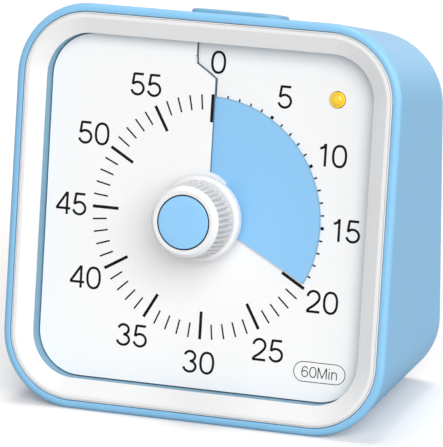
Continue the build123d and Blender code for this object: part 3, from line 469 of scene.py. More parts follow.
# Finishes: tone, rubbed tone, grain values in the order of grainLabels, and other settings
grainLabels = ("Grain Scale", "Grain Depth", "Gloss Centre", "Gloss Spread", "Tone Spread")
plastics = {
    "caseBlue": ((0.238, 0.53, 0.80), (0.5, 0.75, 0.95), (2600.0, 0.10, 0.36, 0.10, 0.03),
                 {"Rub Width": 0.0005, "Rub Amount": 0.10}),
    # painted shade: a darker copy of the case blue for the top button
    "buttonShadedBlue": ((0.16, 0.40, 0.57), (0.35, 0.6, 0.75), (2600.0, 0.10, 0.36, 0.10, 0.03),
                   {"Rub Width": 0.0005, "Rub Amount": 0.10}),
    # partly the tray's own blue, partly painted shade for the recess under the bezel's lip
    "trayBlueAndShade": ((0.18, 0.37, 0.51), (0.3, 0.5, 0.7), (2600.0, 0.12, 0.45, 0.10, 0.03), {"Rub Amount": 0.10}),
    "bezelWhite": ((0.82, 0.82, 0.825), (0.84, 0.84, 0.84), (3200.0, 0.06, 0.34, 0.08, 0.01), {"Rub Amount": 0.10}),
    "dialWhite": ((0.92, 0.92, 0.92), None, (4200.0, 0.04, 0.5, 0.08, 0.008), {"Specular": 0.35}),
    "filmBlue": ((0.265, 0.565, 0.88), None, (5000.0, 0.03, 0.38, 0.06, 0.02), {}),
    "dialInk": ((0.006, 0.006, 0.008), None, (5000.0, 0.08, 0.6, 0.15, 0.3), {"Specular": 0.1}),
    # painted shade for the film's outer rim
    "filmEdgeShadeBlue": ((0.26, 0.41, 0.52), None, (5000.0, 0.05, 0.5, 0.1, 0.1), {"Specular": 0.3}),
    # painted shade for the gap round the knob cap
    "capGapShadeBlue": ((0.02, 0.05, 0.075), None, (2500.0, 0.1, 0.6, 0.15, 0.2), {"Specular": 0.1}),
    # painted shade for the slit's upper lip
    "slitShadeBlue": ((0.10, 0.19, 0.26), None, (5000.0, 0.05, 0.5, 0.1, 0.1), {"Specular": 0.3}),
    "badgeInk": ((0.02, 0.02, 0.023), None, (5000.0, 0.08, 0.6, 0.15, 0.3), {"Specular": 0.1}),
    "knobWhite": ((0.84, 0.84, 0.85), (0.9, 0.9, 0.9), (3000.0, 0.05, 0.30, 0.08, 0.015), {"Rub Amount": 0.15}),
    # painted shade: a darker copy of knobWhite for the knob's grooved side
    "knobGripShade": ((0.64, 0.625, 0.62), (0.76, 0.76, 0.76), (3000.0, 0.12, 0.5, 0.08, 0.02), {"Rub Amount": 0.15}),
    "capBlue": ((0.285, 0.60, 0.93), (0.5, 0.8, 0.97), (3000.0, 0.03, 0.3, 0.06, 0.02), {"Rub Amount": 0.10}),
    "lensYellow": ((1.0, 0.66, 0.015), None, (3000.0, 0.02, 0.12, 0.05, 0.1),
                   {"Coat": 0.6, "Coat Roughness": 0.05}),
    "padRubber": ((0.07, 0.07, 0.075), (0.14, 0.14, 0.14), (1800.0, 0.5, 0.75, 0.15, 0.2), {"Rub Amount": 0.2}),
    "blackResin": ((0.018, 0.018, 0.02), (0.08, 0.08, 0.08), (2500.0, 0.15, 0.4, 0.15, 0.2), {"Rub Amount": 0.3}),
    "acetalWhite": ((0.78, 0.78, 0.74), (0.85, 0.85, 0.82), (2500.0, 0.06, 0.35, 0.1, 0.03), {}),
    "movementGrey": ((0.34, 0.35, 0.36), (0.5, 0.5, 0.5), (2200.0, 0.2, 0.45, 0.12, 0.06), {}),
    "boardGreen": ((0.02, 0.14, 0.06), (0.3, 0.3, 0.15), (900.0, 0.1, 0.3, 0.12, 0.25), {}),
    "ferriteGrey": ((0.04, 0.04, 0.045), (0.1, 0.1, 0.1), (1500.0, 0.4, 0.55, 0.2, 0.3), {}),
    "cellSleeve": ((0.06, 0.065, 0.075), (0.3, 0.3, 0.3), (1500.0, 0.05, 0.25, 0.1, 0.1), {"Coat": 0.3}),
    "ledResin": ((0.75, 0.68, 0.42), None, (2500.0, 0.03, 0.15, 0.05, 0.05), {"Coat": 0.4}),
}
metals = {
    "zincSteel": ((0.62, 0.62, 0.64), {"Gloss Centre": 0.28}),
    "springSteel": ((0.68, 0.67, 0.64), {"Gloss Centre": 0.25}),
    "coreSteel": ((0.40, 0.40, 0.41), {"Gloss Centre": 0.45}),
    "copperWire": ((0.62, 0.26, 0.10), {"Line Scale": 6000.0, "Gloss Centre": 0.35}),
    "contactBrass": ((0.72, 0.52, 0.22), {"Gloss Centre": 0.3}),
}
finish = {name: plasticMaterial(name, *row) for name, row in plastics.items()}
finish.update({name: metalMaterial(name, *row) for name, row in metals.items()})
print("finishes ready")


# Case shell: outer skin, front pocket, rear recess and cavity as one closed surface
shell = {"edgeRound": 0.14, "roundTrim": 0.05, "sideRows": 8, "arcRows": 6}
faceSize = (case["faceWidth"], case["faceHeight"], case["faceCorner"])
rearSize = (case["rearWidth"], case["rearHeight"], case["rearCorner"])
openingSize = insetSize(faceSize, case["rimWidth"])


def caseFront(inset, out):
    loop = roundedLoop(*insetSize(faceSize, inset))
    return faceAt(loop[:, 0], loop[:, 1], out)


def caseRear(inset, depth):
    loop = roundedLoop(*insetSize(rearSize, inset))
    return rearAt(loop[:, 0], case["rearHeight"] / 2 + loop[:, 1], depth)


def caseShell():
    # rows: pocket shoulder, pocket wall, rim, quarter circle, straight side, arc, rear face, recess
    turn = np.linspace(0, math.pi / 2, shell["arcRows"] + 1)
    edge, front = shell["edgeRound"], case["frontRound"] - shell["roundTrim"]
    rows = [caseFront(case["frontWall"], -case["pocketDepth"]),
            caseFront(case["rimWidth"], -case["pocketDepth"])]
    rows += [caseFront(case["rimWidth"] - edge * (1 - math.cos(t)), -edge * (1 - math.sin(t)))
             for t in turn[::2]]
    rows += [caseFront(front * (1 - math.sin(t)), -front * (1 - math.cos(t))) for t in turn]
    sideFront, corner = caseFront(0, -case["frontRound"]), caseRear(0, 0)
    along = sideFront - corner
    along /= np.linalg.norm(along, axis=1, keepdims=True)
    # the edge to the rear face is rounded point by point, by the same arc as in filletProfile
    inward = caseRear(1.0, 0) - corner
    inward /= np.linalg.norm(inward, axis=1, keepdims=True)
    half = np.arccos(np.clip((along * inward).sum(1), -1, 1))[:, None] / 2
    reach = case["rearRound"] / np.tan(half)
    before, after = corner + along * reach, corner + inward * reach
    rows += [sideFront + (before - sideFront) * t for t in np.linspace(0, 1, shell["sideRows"])[:-1]]
    for t in np.linspace(0, 1, 2 * shell["arcRows"] + 1):
        share = ((1 - t) ** 2, 2 * np.sin(half) * t * (1 - t), t ** 2)
        rows.append((share[0] * before + share[1] * corner + share[2] * after)
                    / (share[0] + share[1] + share[2]))
    rows += [caseRear(case["coverInset"] - edge * math.cos(t), edge * (1 - math.cos(t)))
             for t in turn[::2]]
    rows += [caseRear(case["coverInset"], case["coverDepth"]),
             caseRear(case["rearWall"], case["coverDepth"])]
    return np.stack(rows)


button = {
    "width": 20.6, "depth": 9.0, "corner": 3.0, "play": 0.25, "proud": 1.2, "edge": 0.6,
    "crown": 0.12, "flangeTop": -2.65, "flangeLow": -3.75, "flangeRim": 1.4, "relief": 2.0, "wall": 2.4,
    "reliefCorner": 2.0, "reliefLow": -12.0, "slotLow": -6.0, "slotHigh": 0.5, "slotFlare": 0.25,
    "skirtLow": -2.0, "edgeDrop": 0.04, "crownStops": ((1.4, 0.0), (2.4, 0.6), (3.8, 1.0)),
    "edgeSteps": 6,
}
pads = {"radius": 4.5, "thick": 1.0, "x": 20.0, "y": 15.0, "gap": 0.12, "holeDeep": 1.05, "holePast": 1.0,
        "edge": 0.2, "dishRim": 3.7, "dishFloor": 3.55, "dish": 0.12, "dishRound": 0.05, "edgeSteps": 3,
        "segments": 48}
padPlaces = [(side * pads["x"], back * pads["y"]) for side in (-1, 1) for back in (-1, 1)]


def flaredCut(name, size, frameAt, low, high, flare):
    # a cutter whose outline widens at 45 degrees from flare below the surface, at height 0, upward
    profile = [(0.0, low), (0.0, -flare), (-flare - high, high)]
    return addMesh(name, cappedRun(sweepRound(size, profile, frameAt)))


buttonSize = (button["width"], button["depth"], button["corner"])
slotSize = insetSize(buttonSize, -button["play"])
reliefSize = (button["width"] + 2 * (button["flangeRim"] + button["relief"]),
              button["depth"] + 2 * (button["flangeRim"] + button["relief"]), button["reliefCorner"])
padHole = pads["radius"] + pads["gap"]
caseCutters = [
    flaredCut("buttonSlotCut", slotSize, topAt, button["slotLow"], button["slotHigh"], button["slotFlare"]),
    addMesh("buttonReliefCut", cappedRun(sweepRound(
        reliefSize, [(0, button["reliefLow"]), (0, -button["wall"])], topAt))),
]
padHoleRows = np.array([(padHole, pads["holePast"]), (padHole, -pads["holeDeep"])])
for number, place in enumerate(padPlaces):
    caseCutters.append(addMesh(f"padCut{number}", cappedRun(revolve(place, padHoleRows, baseAt))))
addSurface("caseShell", closedRing(caseShell()), "caseBlue", "housing", ["main_housing"],
           caseCutters)
print("case ready")

# Bezel: a closed profile of (inset, height, corner radius) swept round the pocket; the lip's insets
# count from the inner edge
bezel = {
    "width": 4.65,
    "outer": [(0.15, -2.0, 0), (0.15, -0.2, 0.08), (0.36, -0.1, 0.04), (0.38, -0.5, 0), (0.52, -0.5, 0),
              (0.54, 0.0, 0.04), (1.32, 0.0, 0.14)],
    "lip": [(-0.1, -1.6, 0.12), (0.0, -1.66, 0.04), (0.0, -1.8, 0), (-0.35, -2.0, 0)],
}
bezelProfile = filletProfile(bezel["outer"] + [
    (bezel["width"] + inset, height, corner) for inset, height, corner in bezel["lip"]])
addSurface("frontBezel", closedRing(sweepRound(openingSize, bezelProfile, faceAt)),
           "bezelWhite", "housing", ["front_bezel"])

# Dial plate: one turn of a helix, cut along the slit, with a collar that laps over the film
plate = {"rows": 289, "stops": (0, 0.1014, 0.25, 0.4, 0.55, 0.68, 0.7587, 0.81, 0.8568, 0.93, 1.0),
         "slitSpread": 25.0, "collarRows": 30, "collarColumns": 4, "halvings": 40}


def outlineReach(size, angle):
    # distance from the middle to a rounded rectangle along each angle, by halving
    halfW, halfH, corner = size[0] / 2, size[1] / 2, size[2]
    low, high = np.zeros_like(angle), np.full_like(angle, halfW + halfH)
    for _ in range(plate["halvings"]):
        middle = (low + high) / 2
        x = np.abs(middle * np.sin(angle)) - (halfW - corner)
        y = np.abs(middle * np.cos(angle)) - (halfH - corner)
        away = np.hypot(np.maximum(x, 0), np.maximum(y, 0)) + np.minimum(np.maximum(x, y), 0) - corner
        low, high = np.where(away < 0, middle, low), np.where(away < 0, high, middle)
    return (low + high) / 2


def slitShift(radius, degrees):
    # sideways shift that lays both ends of the sheet along the slit and fades round the dial
    slit = np.array(dial["slit"])
    near = np.minimum(np.abs(degrees), np.abs(360.0 - degrees)) / plate["slitSpread"]
    return np.interp(radius, slit[:, 1], slit[:, 0]) * np.cos(np.clip(near, 0, 1) * math.pi / 2) ** 2


def helixSheet(degrees, radius, level, thick, shifted):
    # grid of the sheet's front and back; its height follows each point's true angle
    angle = np.radians(degrees)
    u, v = radius * np.sin(angle), radius * np.cos(angle)
    if shifted:
        u = u + slitShift(radius, degrees)
    off = np.degrees(np.arctan2(u, v)) - degrees
    true = degrees + (off + 180.0) % 360.0 - 180.0
    front = level(true)
    return slabGrid(faceAt(u, v, front), faceAt(u, v, front - thick))


turnStops = np.linspace(0, 360, plate["rows"])[:, None]
plateSize = insetSize(insetSize(openingSize, bezel["width"]), dial["gap"])
plateReach = outlineReach(plateSize, np.radians(turnStops))
plateRadius = dial["hubHole"] + np.array(plate["stops"]) * (plateReach - dial["hubHole"])
collarStops = np.linspace(360.0, 360.0 + dial["tongue"][-1][0], plate["collarRows"])[:, None]
collarEdge = np.interp(collarStops - 360.0, *zip(*dial["tongue"]))
collarShare = np.linspace(0, 1, plate["collarColumns"])[None, :]
collarRadius = dial["hubHole"] + collarShare * (collarEdge - dial["hubHole"])
# Lens profiles are (radius, height, corner radius); the dome's heights count from the plate
lens = {
    "place": (27.38, 27.14), "hole": 1.82, "holeLow": -8.0, "holeHigh": 0.0, "holeSegments": 40, "segments": 64,
    "foot": [(1.25, -7.3, 0), (1.68, -7.3, 0)],
    "dome": [(1.68, 0.36, 0.14), (1.34, 0.40, 0.08), (1.28, 0.24, 0.04), (1.16, 0.62, 0.3), (0.72, 0.86, 0.5),
             (axisGap, 0.9, 0)],
}
lampHoleRows = np.array([(lens["hole"], lens["holeLow"]), (lens["hole"], lens["holeHigh"])])
lampCut = addMesh("lampCut", cappedRun(revolve(lens["place"], lampHoleRows, faceAt, lens["holeSegments"])))
addSurface("dialPlate", joinGrids([
    helixSheet(turnStops, plateRadius, plateTop, dial["sheet"], True),
    helixSheet(collarStops, collarRadius, plateTop, dial["sheet"], True)]),
    "dialWhite", "housing", ["dial_plate"], [lampCut])

# Film: the blue sector, turned with the knob; clockwise from the slit to its leading edge it lies half
# a pitch in front of the plate, and the rest of it half a pitch behind
filmStops = np.linspace(dial["filmLead"] - dial["filmSweep"], dial["filmLead"], dial["filmRows"])[:, None]
filmRadius = np.linspace(dial["filmInner"], dial["filmRadius"], dial["filmColumns"])[None, :] + 0 * filmStops


def filmTop(degrees):
    return filmLevel + dial["film"] / 2 + dial["pitch"] * degrees / 360.0


addSurface("timeFilm", joinGrids([helixSheet(filmStops, filmRadius, filmTop, dial["film"], False)]),
           "filmBlue", "disc", ["time_disc"])
print("dial ready")

# Printing: ticks, numbers and the badge, a thin layer of ink on the plate. The shifts and the sway
# move the ticks as dialTicks says; slitFrom and zeroFrom are the starts of inkStroke's turns.
ink = {
    "outer": 26.026, "minorInner": 22.815, "majorInner": 20.115, "minorWidth": 0.34, "majorWidth": 0.66,
    "capHeight": 4.8, "stroke": 0.111, "widen": 1.07, "gap": 0.10, "low": 0.003, "high": 0.02,
    "zeroShift": 0.12, "ringShift": (0.20, -0.07), "ringSway": 0.14, "swayTurn": 30.0, "tickRows": 3,
    "slitFrom": 180.0, "zeroFrom": -60.0, "sharp": 20.0,
}
labels = {
    "0": (0.43, 32.73), "5": (15.76, 26.7), "10": (26.92, 15.36), "15": (30.99, -0.1),
    "20": (26.79, -15.51), "25": (15.47, -26.85), "30": (0.13, -31.03), "35": (-15.23, -26.88),
    "40": (-26.59, -15.48), "45": (-30.66, 0.0), "50": (-26.39, 15.44), "55": (-15.06, 26.73),
}


def inkStroke(path, width, closed=False, base=0.0, level=plateTop, layer=(ink["high"], ink["low"])):
    # a ribbon along a path: each point moved half the width to either side, laid on the helix;
    # base is where its turns start, which tells the two sides of the slit apart
    path = np.asarray(path, float)
    if closed:
        run = np.roll(path, -1, 0) - np.roll(path, 1, 0)
    else:
        run = np.gradient(path, axis=0)
    run /= np.linalg.norm(run, axis=1, keepdims=True)
    side = np.stack([run[:, 1], -run[:, 0]], -1) * width / 2
    edges = [path + side, path - side, path - side, path + side]
    lifts = [layer[0], layer[0], layer[1], layer[1]]
    columns = []
    for edge, lift in zip(edges, lifts):
        turned = (np.degrees(np.arctan2(edge[:, 0], edge[:, 1])) - base) % 360.0 + base
        columns.append(faceAt(edge[:, 0], edge[:, 1], level(turned) + lift))
    return np.stack(columns, 1), closed, True, "" if closed else "whole"


def arcPath(centre, radii, start, stop, steps=20):
    # part of an ellipse, anticlockwise degrees from the right
    angle = np.radians(np.linspace(start, stop, steps + 1))
    return np.stack([centre[0] + radii[0] * np.cos(angle), centre[1] + radii[1] * np.sin(angle)], -1)


def ovalPath(centre, radii, power, steps=48):
    # a closed oval whose sides are fuller than an ellipse's
    angle = np.linspace(0, 2 * math.pi, steps, endpoint=False)
    c, s = np.cos(angle), np.sin(angle)
    return np.stack([centre[0] + radii[0] * np.sign(c) * np.abs(c) ** power,
                     centre[1] + radii[1] * np.sign(s) * np.abs(s) ** power], -1)


def curvePath(a, b, c, steps=12):
    # a bend from a to c that leaves a towards b
    t = np.linspace(0, 1, steps + 1)[:, None]
    return (1 - t) ** 2 * np.array(a) + 2 * t * (1 - t) * np.array(b) + t ** 2 * np.array(c)


def linePath(*stops):
    return np.array(stops, float)


# Each figure on a unit cap height: its width, and the centre lines of its closed and open strokes
figures = {
    "0": (0.64, [ovalPath((0.32, 0.5), (0.275, 0.455), 0.86)], []),
    "1": (0.55, [], [linePath((0.35, 0.0), (0.35, 1.0)), curvePath((0.335, 0.975), (0.29, 0.80), (0.11, 0.785))]),
    "2": (0.64, [], [np.concatenate([arcPath((0.31, 0.69), (0.255, 0.265), 176, -28),
                                     curvePath((0.53, 0.55), (0.40, 0.36), (0.20, 0.22))[1:],
                                     curvePath((0.20, 0.22), (0.07, 0.13), (0.06, 0.045))[1:]]),
                     linePath((0.03, 0.045), (0.60, 0.045))]),
    "3": (0.64, [], [arcPath((0.30, 0.735), (0.225, 0.22), 168, -90),
                     arcPath((0.30, 0.28), (0.265, 0.235), 90, -172)]),
    "4": (0.64, [], [linePath((0.47, 0.97), (0.035, 0.28)), linePath((0.0, 0.265), (0.64, 0.265)),
                     linePath((0.49, 0.0), (0.49, 1.0))]),
    "5": (0.64, [], [linePath((0.12, 0.955), (0.55, 0.955)), linePath((0.145, 0.975), (0.085, 0.48)),
                     arcPath((0.305, 0.32), (0.27, 0.275), 142, -165)]),
    "6": (0.64, [ovalPath((0.32, 0.315), (0.26, 0.27), 0.95)],
          [np.concatenate([linePath((0.06, 0.32), (0.065, 0.46)),
                           arcPath((0.34, 0.50), (0.275, 0.455), 178, 38)])]),
    "M": (0.86, [], [linePath((0.06, 0.0), (0.06, 1.0)), linePath((0.80, 0.0), (0.80, 1.0)),
                     linePath((0.07, 0.98), (0.43, 0.04)), linePath((0.43, 0.04), (0.79, 0.98))]),
    "i": (0.20, [], [linePath((0.10, 0.0), (0.10, 0.72)), linePath((0.10, 0.88), (0.10, 1.0))]),
    "n": (0.56, [], [linePath((0.06, 0.0), (0.06, 0.72)),
                     np.concatenate([arcPath((0.28, 0.45), (0.21, 0.235), 175, 0),
                                     linePath((0.49, 0.3), (0.49, 0.0))])]),
}


def writeText(text, centre, height, stroke, gap, base):
    # figures side by side about a centre; gap is the white between them, in cap heights
    widths = [figures[letter][0] * ink["widen"] for letter in text]
    across = sum(widths) + gap * (len(text) - 1)
    left, strokes = -across / 2, []
    for letter, width in zip(text, widths):
        _, loops, runs = figures[letter]
        for path, closed in [(path, True) for path in loops] + [(path, False) for path in runs]:
            placed = np.array(centre) + height * (path * [ink["widen"], 1.0] + [left, -0.5])
            strokes.append(inkStroke(placed, stroke * height, closed, base))
        left += width + gap
    return strokes


def dialTicks():
    # sixty radial bars, every fifth longer and wider; the one at the slit is on its left side and
    # the others sit a little to the right, by a constant and a cosine of the turn
    bars = []
    for minute in range(1, 61):
        major = minute % 5 == 0
        inner = ink["majorInner"] if major else ink["minorInner"]
        angle = math.radians(6 * minute)
        radius = np.linspace(inner, ink["outer"], ink["tickRows"])[:, None]
        shift = [ink["zeroShift"], 0]
        if minute < 60:
            sway = ink["ringSway"] * math.cos(angle + math.radians(ink["swayTurn"]))
            shift = [ink["ringShift"][0] + sway, ink["ringShift"][1]]
        path = radius * np.array([[math.sin(angle), math.cos(angle)]]) + shift
        bars.append(inkStroke(path, ink["majorWidth"] if major else ink["minorWidth"],
                              base=ink["slitFrom"] if minute == 60 else 0.0))
    return bars


numberStrokes = []
for text, centre in labels.items():
    numberStrokes += writeText(text, centre, ink["capHeight"], ink["stroke"], ink["gap"],
                               ink["zeroFrom"] if text == "0" else 0.0)
addSurface("dialPrint", joinGrids(dialTicks() + numberStrokes), "dialInk", "housing",
           sharp=ink["sharp"])

# Painted shade: fine dark strips along the slit's upper lip and round the rim of the film stand in for the shade at
# these edges
edgeShade = {
    "lipStops": ((0.0, 9.6), (0.0, 18.0), (0.0, 29.4), (-4.65, 32.4), (-4.65, 34.0)), "lipShift": 0.04,
    "lipWidth": 0.05, "lipHigh": 0.01, "rimWidth": 0.2, "rimInset": 0.01, "rimStart": 0.5,
}
lipPath = np.array(edgeShade["lipStops"]) + [dial["slit"][0][0] + edgeShade["lipShift"], 0]
addSurface("slitLipShade", joinGrids([inkStroke(
    lipPath, edgeShade["lipWidth"], base=ink["slitFrom"], layer=(edgeShade["lipHigh"], -dial["sheet"]))]),
    "slitShadeBlue", "housing", sharp=ink["sharp"])
rimTurn = np.radians(filmStops[:, 0])
rimRadius = dial["filmRadius"] - edgeShade["rimWidth"] / 2 - edgeShade["rimInset"]
rimPath = rimRadius * np.stack([np.sin(rimTurn), np.cos(rimTurn)], -1)
# Painted shade: a dark strip just inside the film's outer edge
addSurface("filmRimShade", joinGrids([inkStroke(
    rimPath, edgeShade["rimWidth"], base=filmStops[0, 0] - edgeShade["rimStart"], level=filmTop)]),
    "filmEdgeShadeBlue", "disc", sharp=ink["sharp"])

# Badge: a rounded outline round small lettering, on the plate's lower right
badge = {
    "left": 21.4, "right": 32.95, "low": -32.63, "high": -28.28, "line": 0.16, "height": 2.32,
    "stroke": 0.09, "gap": 0.09, "cornerTrim": 0.01, "spacing": 0.03,
}
badgeMiddle = ((badge["left"] + badge["right"]) / 2, (badge["low"] + badge["high"]) / 2)
badgeTall = badge["high"] - badge["low"] - badge["line"]
badgeLoop = roundedLoop(badge["right"] - badge["left"] - badge["line"], badgeTall,
                        badgeTall / 2 - badge["cornerTrim"])
badgeLoop = badgeLoop[np.linalg.norm(badgeLoop - np.roll(badgeLoop, 1, 0), axis=1) > badge["spacing"]]
badgeStrokes = [inkStroke(badgeLoop + np.array(badgeMiddle), badge["line"], True)]
badgeStrokes += writeText("60Min", badgeMiddle, badge["height"], badge["stroke"], badge["gap"], 0.0)
addSurface("dialBadge", joinGrids(badgeStrokes), "badgeInk", "housing", sharp=ink["sharp"])
print("printing ready")

# Knob: a turned profile of (radius, height, corner radius) with forty shallow grooves round its side
knob = {
    "ribs": 40, "columns": 480, "ribDepth": 0.72, "ribTop": 7.6, "ribFoot": 1.2, "ribFade": 0.4,
    "ribPower": 2.2, "gripShadeFoot": 0.3, "gripRadius": 7.0, "sharp": 50.0,
    "profile": [
        (1.02, 5.05, 0), (1.02, 5.95, 0), (2.02, 5.95, 0), (2.02, 7.1, 0), (5.84, 7.1, 0), (5.84, 8.7, 0.05),
        (6.78, 8.7, 0.45), (7.53, 7.72, 0.5), (7.58, 7.2, 0), (7.62, 6.8, 0), (7.80, 4.5, 0), (7.98, 2.4, 0),
        (8.05, 1.6, 0), (8.09, 1.2, 0), (8.12, 0.4, 0), (8.2, 0.0, 0), (8.42, 0.22, 0.1), (9.05, -0.1, 0.5),
        (9.05, -2.0, 0.1),
        (6.05, -2.0, 0), (6.05, 4.7, 0), (4.6, 4.7, 0), (4.6, -3.3, 0), (3.05, -3.3, 0), (3.05, 5.05, 0)],
}
cap = {
    "segments": 128,
    "profile": [(0.3, 7.15, 0), (5.52, 7.15, 0), (5.52, 8.78, 0.12), (3.0, 8.8, 0), (0.3, 8.8, 0)],
    "gapShadeRing": [(5.53, 8.6), (5.83, 8.6), (5.83, 8.2), (5.53, 8.2)],
}


def knobGrooves(radius, height, angle):
    # groove depth: a raised cosine round the turn, narrowed by a power, faded out at both ends of the side
    wave = ((1 - np.cos(knob["ribs"] * angle)) / 2) ** knob["ribPower"]
    fade = np.clip((height - knob["ribFoot"]) / knob["ribFade"], 0, 1)
    fade = fade * np.clip((knob["ribTop"] - height) / knob["ribFade"], 0, 1)
    return knob["ribDepth"] * wave * fade * (radius > knob["gripRadius"])


knobProfile = filletProfile(knob["profile"])
knobBody = addSurface(
    "knobBody", closedRing(revolve((0, 0), knobProfile, faceAt, knob["columns"], knobGrooves)),
    "knobWhite", "knob", ["knob"], sharp=knob["sharp"])
# The grooved band is duller than the rest and carries painted shade: a darker copy of the knob's white on every
# face whose corners all lie on it
knobBody.data.materials.append(finish["knobGripShade"])
gripShadeFaces = ((knobProfile[:, 0] > knob["gripRadius"]) & (knobProfile[:, 1] >= knob["gripShadeFoot"])
          & (knobProfile[:, 1] <= knob["ribTop"]))
corners = np.empty(len(knobBody.data.loops), int)
knobBody.data.loops.foreach_get("vertex_index", corners)
gripShadeFaces = np.repeat(gripShadeFaces, knob["columns"])[corners].reshape(-1, 4).all(1)
knobBody.data.polygons.foreach_set("material_index", gripShadeFaces.astype(int))
addSurface("knobCap", cappedRun(revolve((0, 0), filletProfile(cap["profile"]), faceAt, cap["segments"])),
           "capBlue", "knob", ["knob_cap"])
# Painted shade: a dark ring sunk in the gap between cap and knob stands in for the shade in that gap
addSurface("capGapShade", closedRing(revolve((0, 0), np.array(cap["gapShadeRing"]), faceAt, cap["segments"])),
           "capGapShadeBlue", "knob")
print("knob ready")

# Lamp lens: a dome in a low ring, standing through the dial plate
lensBase = plateTop(math.degrees(math.atan2(*lens["place"])))
lensProfile = filletProfile(lens["foot"] + [
    (radius, lensBase + height, corner) for radius, height, corner in lens["dome"]])
addSurface("lampLens", cappedRun(revolve(lens["place"], lensProfile, faceAt, lens["segments"])),
           "lensYellow", "housing", ["led_lens"])

# Top button: rounded cap with a soft crown, over the hidden flange that keeps it in
crownRows = [(inset, button["proud"] + button["crown"] * share) for inset, share in button["crownStops"]]
buttonProfile = [(-button["flangeRim"], button["flangeLow"]), (-button["flangeRim"], button["flangeTop"]),
                 (0.0, button["flangeTop"])]
buttonProfile += [tuple(p) for p in filletProfile(
    [(0.0, button["skirtLow"], 0), (0.0, button["proud"] - button["edgeDrop"], button["edge"]),
     (*crownRows[0], 0)], button["edgeSteps"], False)]
buttonProfile += crownRows[1:]
addSurface("topButton", cappedRun(sweepRound(buttonSize, buttonProfile, topAt)),
           "buttonShadedBlue", "top_button", ["top_button"])

# Anti-slip pads: discs with a softened lower edge and a shallow dish
padProfile = filletProfile([
    (pads["radius"], -pads["thick"], 0), (pads["radius"], 0.0, pads["edge"]),
    (pads["dishRim"], 0.0, pads["dishRound"]), (pads["dishFloor"], -pads["dish"], pads["dishRound"]),
    (axisGap, -pads["dish"], 0)], pads["edgeSteps"], False)
padNodes = [f"anti_slip_pad_{number}" for number in (1, 2, 3, 4)]
padGrids = [(revolve(place, padProfile, baseAt, pads["segments"]), False, True, "whole") for place in padPlaces]
addSurface("antiSlipPads", joinGrids(padGrids), "padRubber", "housing", padNodes)
print("small pieces ready")

# Finishes of the CAD pieces that stay
nodeFinish = {
    "trayBlueAndShade": ["dial_tray"],
    "caseBlue": ["rear_cover", "battery_door"],
    "acetalWhite": ["disc_hub", "main_wheel", "third_wheel", "fourth_wheel", "rotor_pinion", "alarm_cam",
                    "switch_plunger"],
    "movementGrey": ["movement_case", "movement_cover"],
    "boardGreen": ["main_board", "button_board"],
    "blackResin": ["control_chip", "button_switch", "sound_switch", "sound_slider", "buzzer"],
    "zincSteel": ["dial_shaft", "knob_screw", "tray_screws", "movement_screws", "board_screws",
                 "button_board_screws", "cover_screws"],
    "springSteel": ["clutch_spring", "clutch_washer", "negative_terminal", "bridge_terminal"],
    "contactBrass": ["alarm_contact", "positive_terminal"],
    "coreSteel": ["stator", "coil_core"],
    "copperWire": ["coil"],
    "ferriteGrey": ["rotor_magnet"],
    "cellSleeve": ["lower_cell", "upper_cell"],
    "ledResin": ["led"],
}
for finishName, nodeNames in nodeFinish.items():
    for nodeName in nodeNames:
        for slot in cadNodes[nodeName].material_slots:
            slot.material = finish[finishName]
print("inner pieces ready")

# Camera, floor, lights and background; the view's lengths are in mm but for the clip, in m
view = {
    "turn": 20.76, "rise": 15.64, "distance": 949.008, "right": 7.513, "up": 41.948,
    "shift": (0.0, -24.287, 0.178), "lens": 362.3,
    "clip": (0.01, 20.0),
}
light = {
    "world": 0.24, "floorTone": (0.5, 0.5, 0.5, 1), "floorSeen": (0.97, 0.935, 0.915, 1), "floorLift": 0.10,
    "floorReach": 3.0, "floorRoughness": 0.9,
    "lamps": {"key": (0.755, 50.0, (0.43, 0.34, 0.84)), "side": (0.36, 60.0, (0.98, 0.15, 0.0)),
              "top": (0.38, 24.0, (-0.05, 0.985, 0.0))},
}


def addCamera():
    # the camera looks along minus back, turned right of the dial and raised
    turn, rise = math.radians(view["turn"]), math.radians(view["rise"])
    back = np.array([math.sin(turn) * math.cos(rise), -math.cos(turn) * math.cos(rise), math.sin(rise)])
    right = np.array([math.cos(turn), math.sin(turn), 0.0])
    up = np.cross(back, right)
    place = (view["distance"] * back + view["right"] * right + view["up"] * up + np.array(view["shift"])) / 1000
    camera = bpy.data.objects.new("camera", bpy.data.cameras.new("camera"))
    bpy.context.scene.collection.objects.link(camera)
    camera.matrix_world = Matrix([[*row, at] for row, at in zip(np.stack([right, up, back], 1).tolist(), place)]
                                 + [[0, 0, 0, 1]])
    camera.data.lens = view["lens"]
    camera.data.clip_start, camera.data.clip_end = view["clip"]
    bpy.context.scene.camera = camera


def addLamp(name, share, spread, aim):
    # a broad distant lamp; aim is right, up and out of the dial, share its part of a plain white's light
    aim = np.array(aim) / np.linalg.norm(aim)
    toward = Vector((aim[0], aim[1] * math.sin(lean) - aim[2] * math.cos(lean),
                     aim[1] * math.cos(lean) + aim[2] * math.sin(lean)))
    lamp = bpy.data.lights.new(name, "SUN")
    lamp.angle = math.radians(spread)
    lamp.energy = share * math.pi
    holder = bpy.data.objects.new(name, lamp)
    holder.rotation_euler = toward.to_track_quat("Z", "Y").to_euler()
    bpy.context.scene.collection.objects.link(holder)


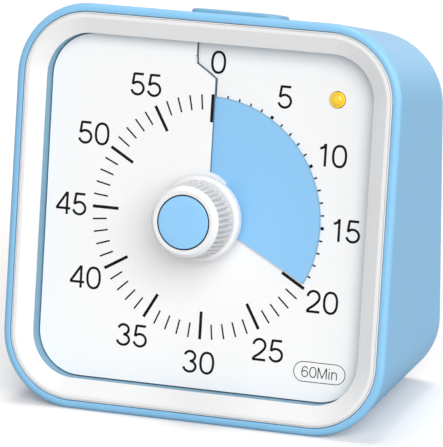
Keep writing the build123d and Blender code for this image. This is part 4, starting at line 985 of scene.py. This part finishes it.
def addFloor():
    # a pale floor that keeps the shadow, lifted a little where the camera sees it
    mesh = bpy.data.meshes.new("floor")
    reach = light["floorReach"]
    mesh.from_pydata([(-reach, -reach, 0), (reach, -reach, 0), (reach, reach, 0), (-reach, reach, 0)], [],
                     [(0, 1, 2, 3)])
    floor = bpy.data.objects.new("floor", mesh)
    bpy.context.scene.collection.objects.link(floor)
    material = bpy.data.materials.new("floorPaper")
    material.use_nodes = True
    tree = material.node_tree
    shader = tree.nodes["Principled BSDF"]
    shader.inputs["Roughness"].default_value = light["floorRoughness"]
    shader.inputs["Specular IOR Level"].default_value = 0.0
    shader.inputs["Emission Color"].default_value = (1, 1, 1, 1)
    seen = tree.nodes.new("ShaderNodeLightPath").outputs["Is Camera Ray"]
    tree.links.new(mixColour(tree, seen, light["floorTone"], light["floorSeen"]), shader.inputs["Base Color"])
    tree.links.new(mathNode(tree, "MULTIPLY", seen, light["floorLift"]), shader.inputs["Emission Strength"])
    mesh.materials.append(material)


def addWorld():
    # even light all round; the camera, mirrors and glass see plain white
    world = bpy.data.worlds.new("studio")
    bpy.context.scene.world = world
    world.use_nodes = True
    tree = world.node_tree
    tree.nodes.clear()
    path = tree.nodes.new("ShaderNodeLightPath")
    seen = mathNode(tree, "MAXIMUM", path.outputs["Is Camera Ray"], path.outputs["Is Glossy Ray"])
    seen = mathNode(tree, "MAXIMUM", seen, path.outputs["Is Transmission Ray"])
    plain = tree.nodes.new("ShaderNodeBackground")
    lit = tree.nodes.new("ShaderNodeBackground")
    plain.inputs["Color"].default_value = (1, 1, 1, 1)
    lit.inputs["Color"].default_value = (1, 1, 1, 1)
    lit.inputs["Strength"].default_value = light["world"]
    mix = tree.nodes.new("ShaderNodeMixShader")
    tree.links.new(seen, mix.inputs["Fac"])
    tree.links.new(lit.outputs[0], mix.inputs[1])
    tree.links.new(plain.outputs[0], mix.inputs[2])
    tree.links.new(mix.outputs[0], tree.nodes.new("ShaderNodeOutputWorld").inputs["Surface"])


addCamera()
for name, (share, spread, aim) in light["lamps"].items():
    addLamp(name, share, spread, aim)
addFloor()
addWorld()
bpy.context.scene.view_settings.view_transform = "Standard"
print("stage ready")
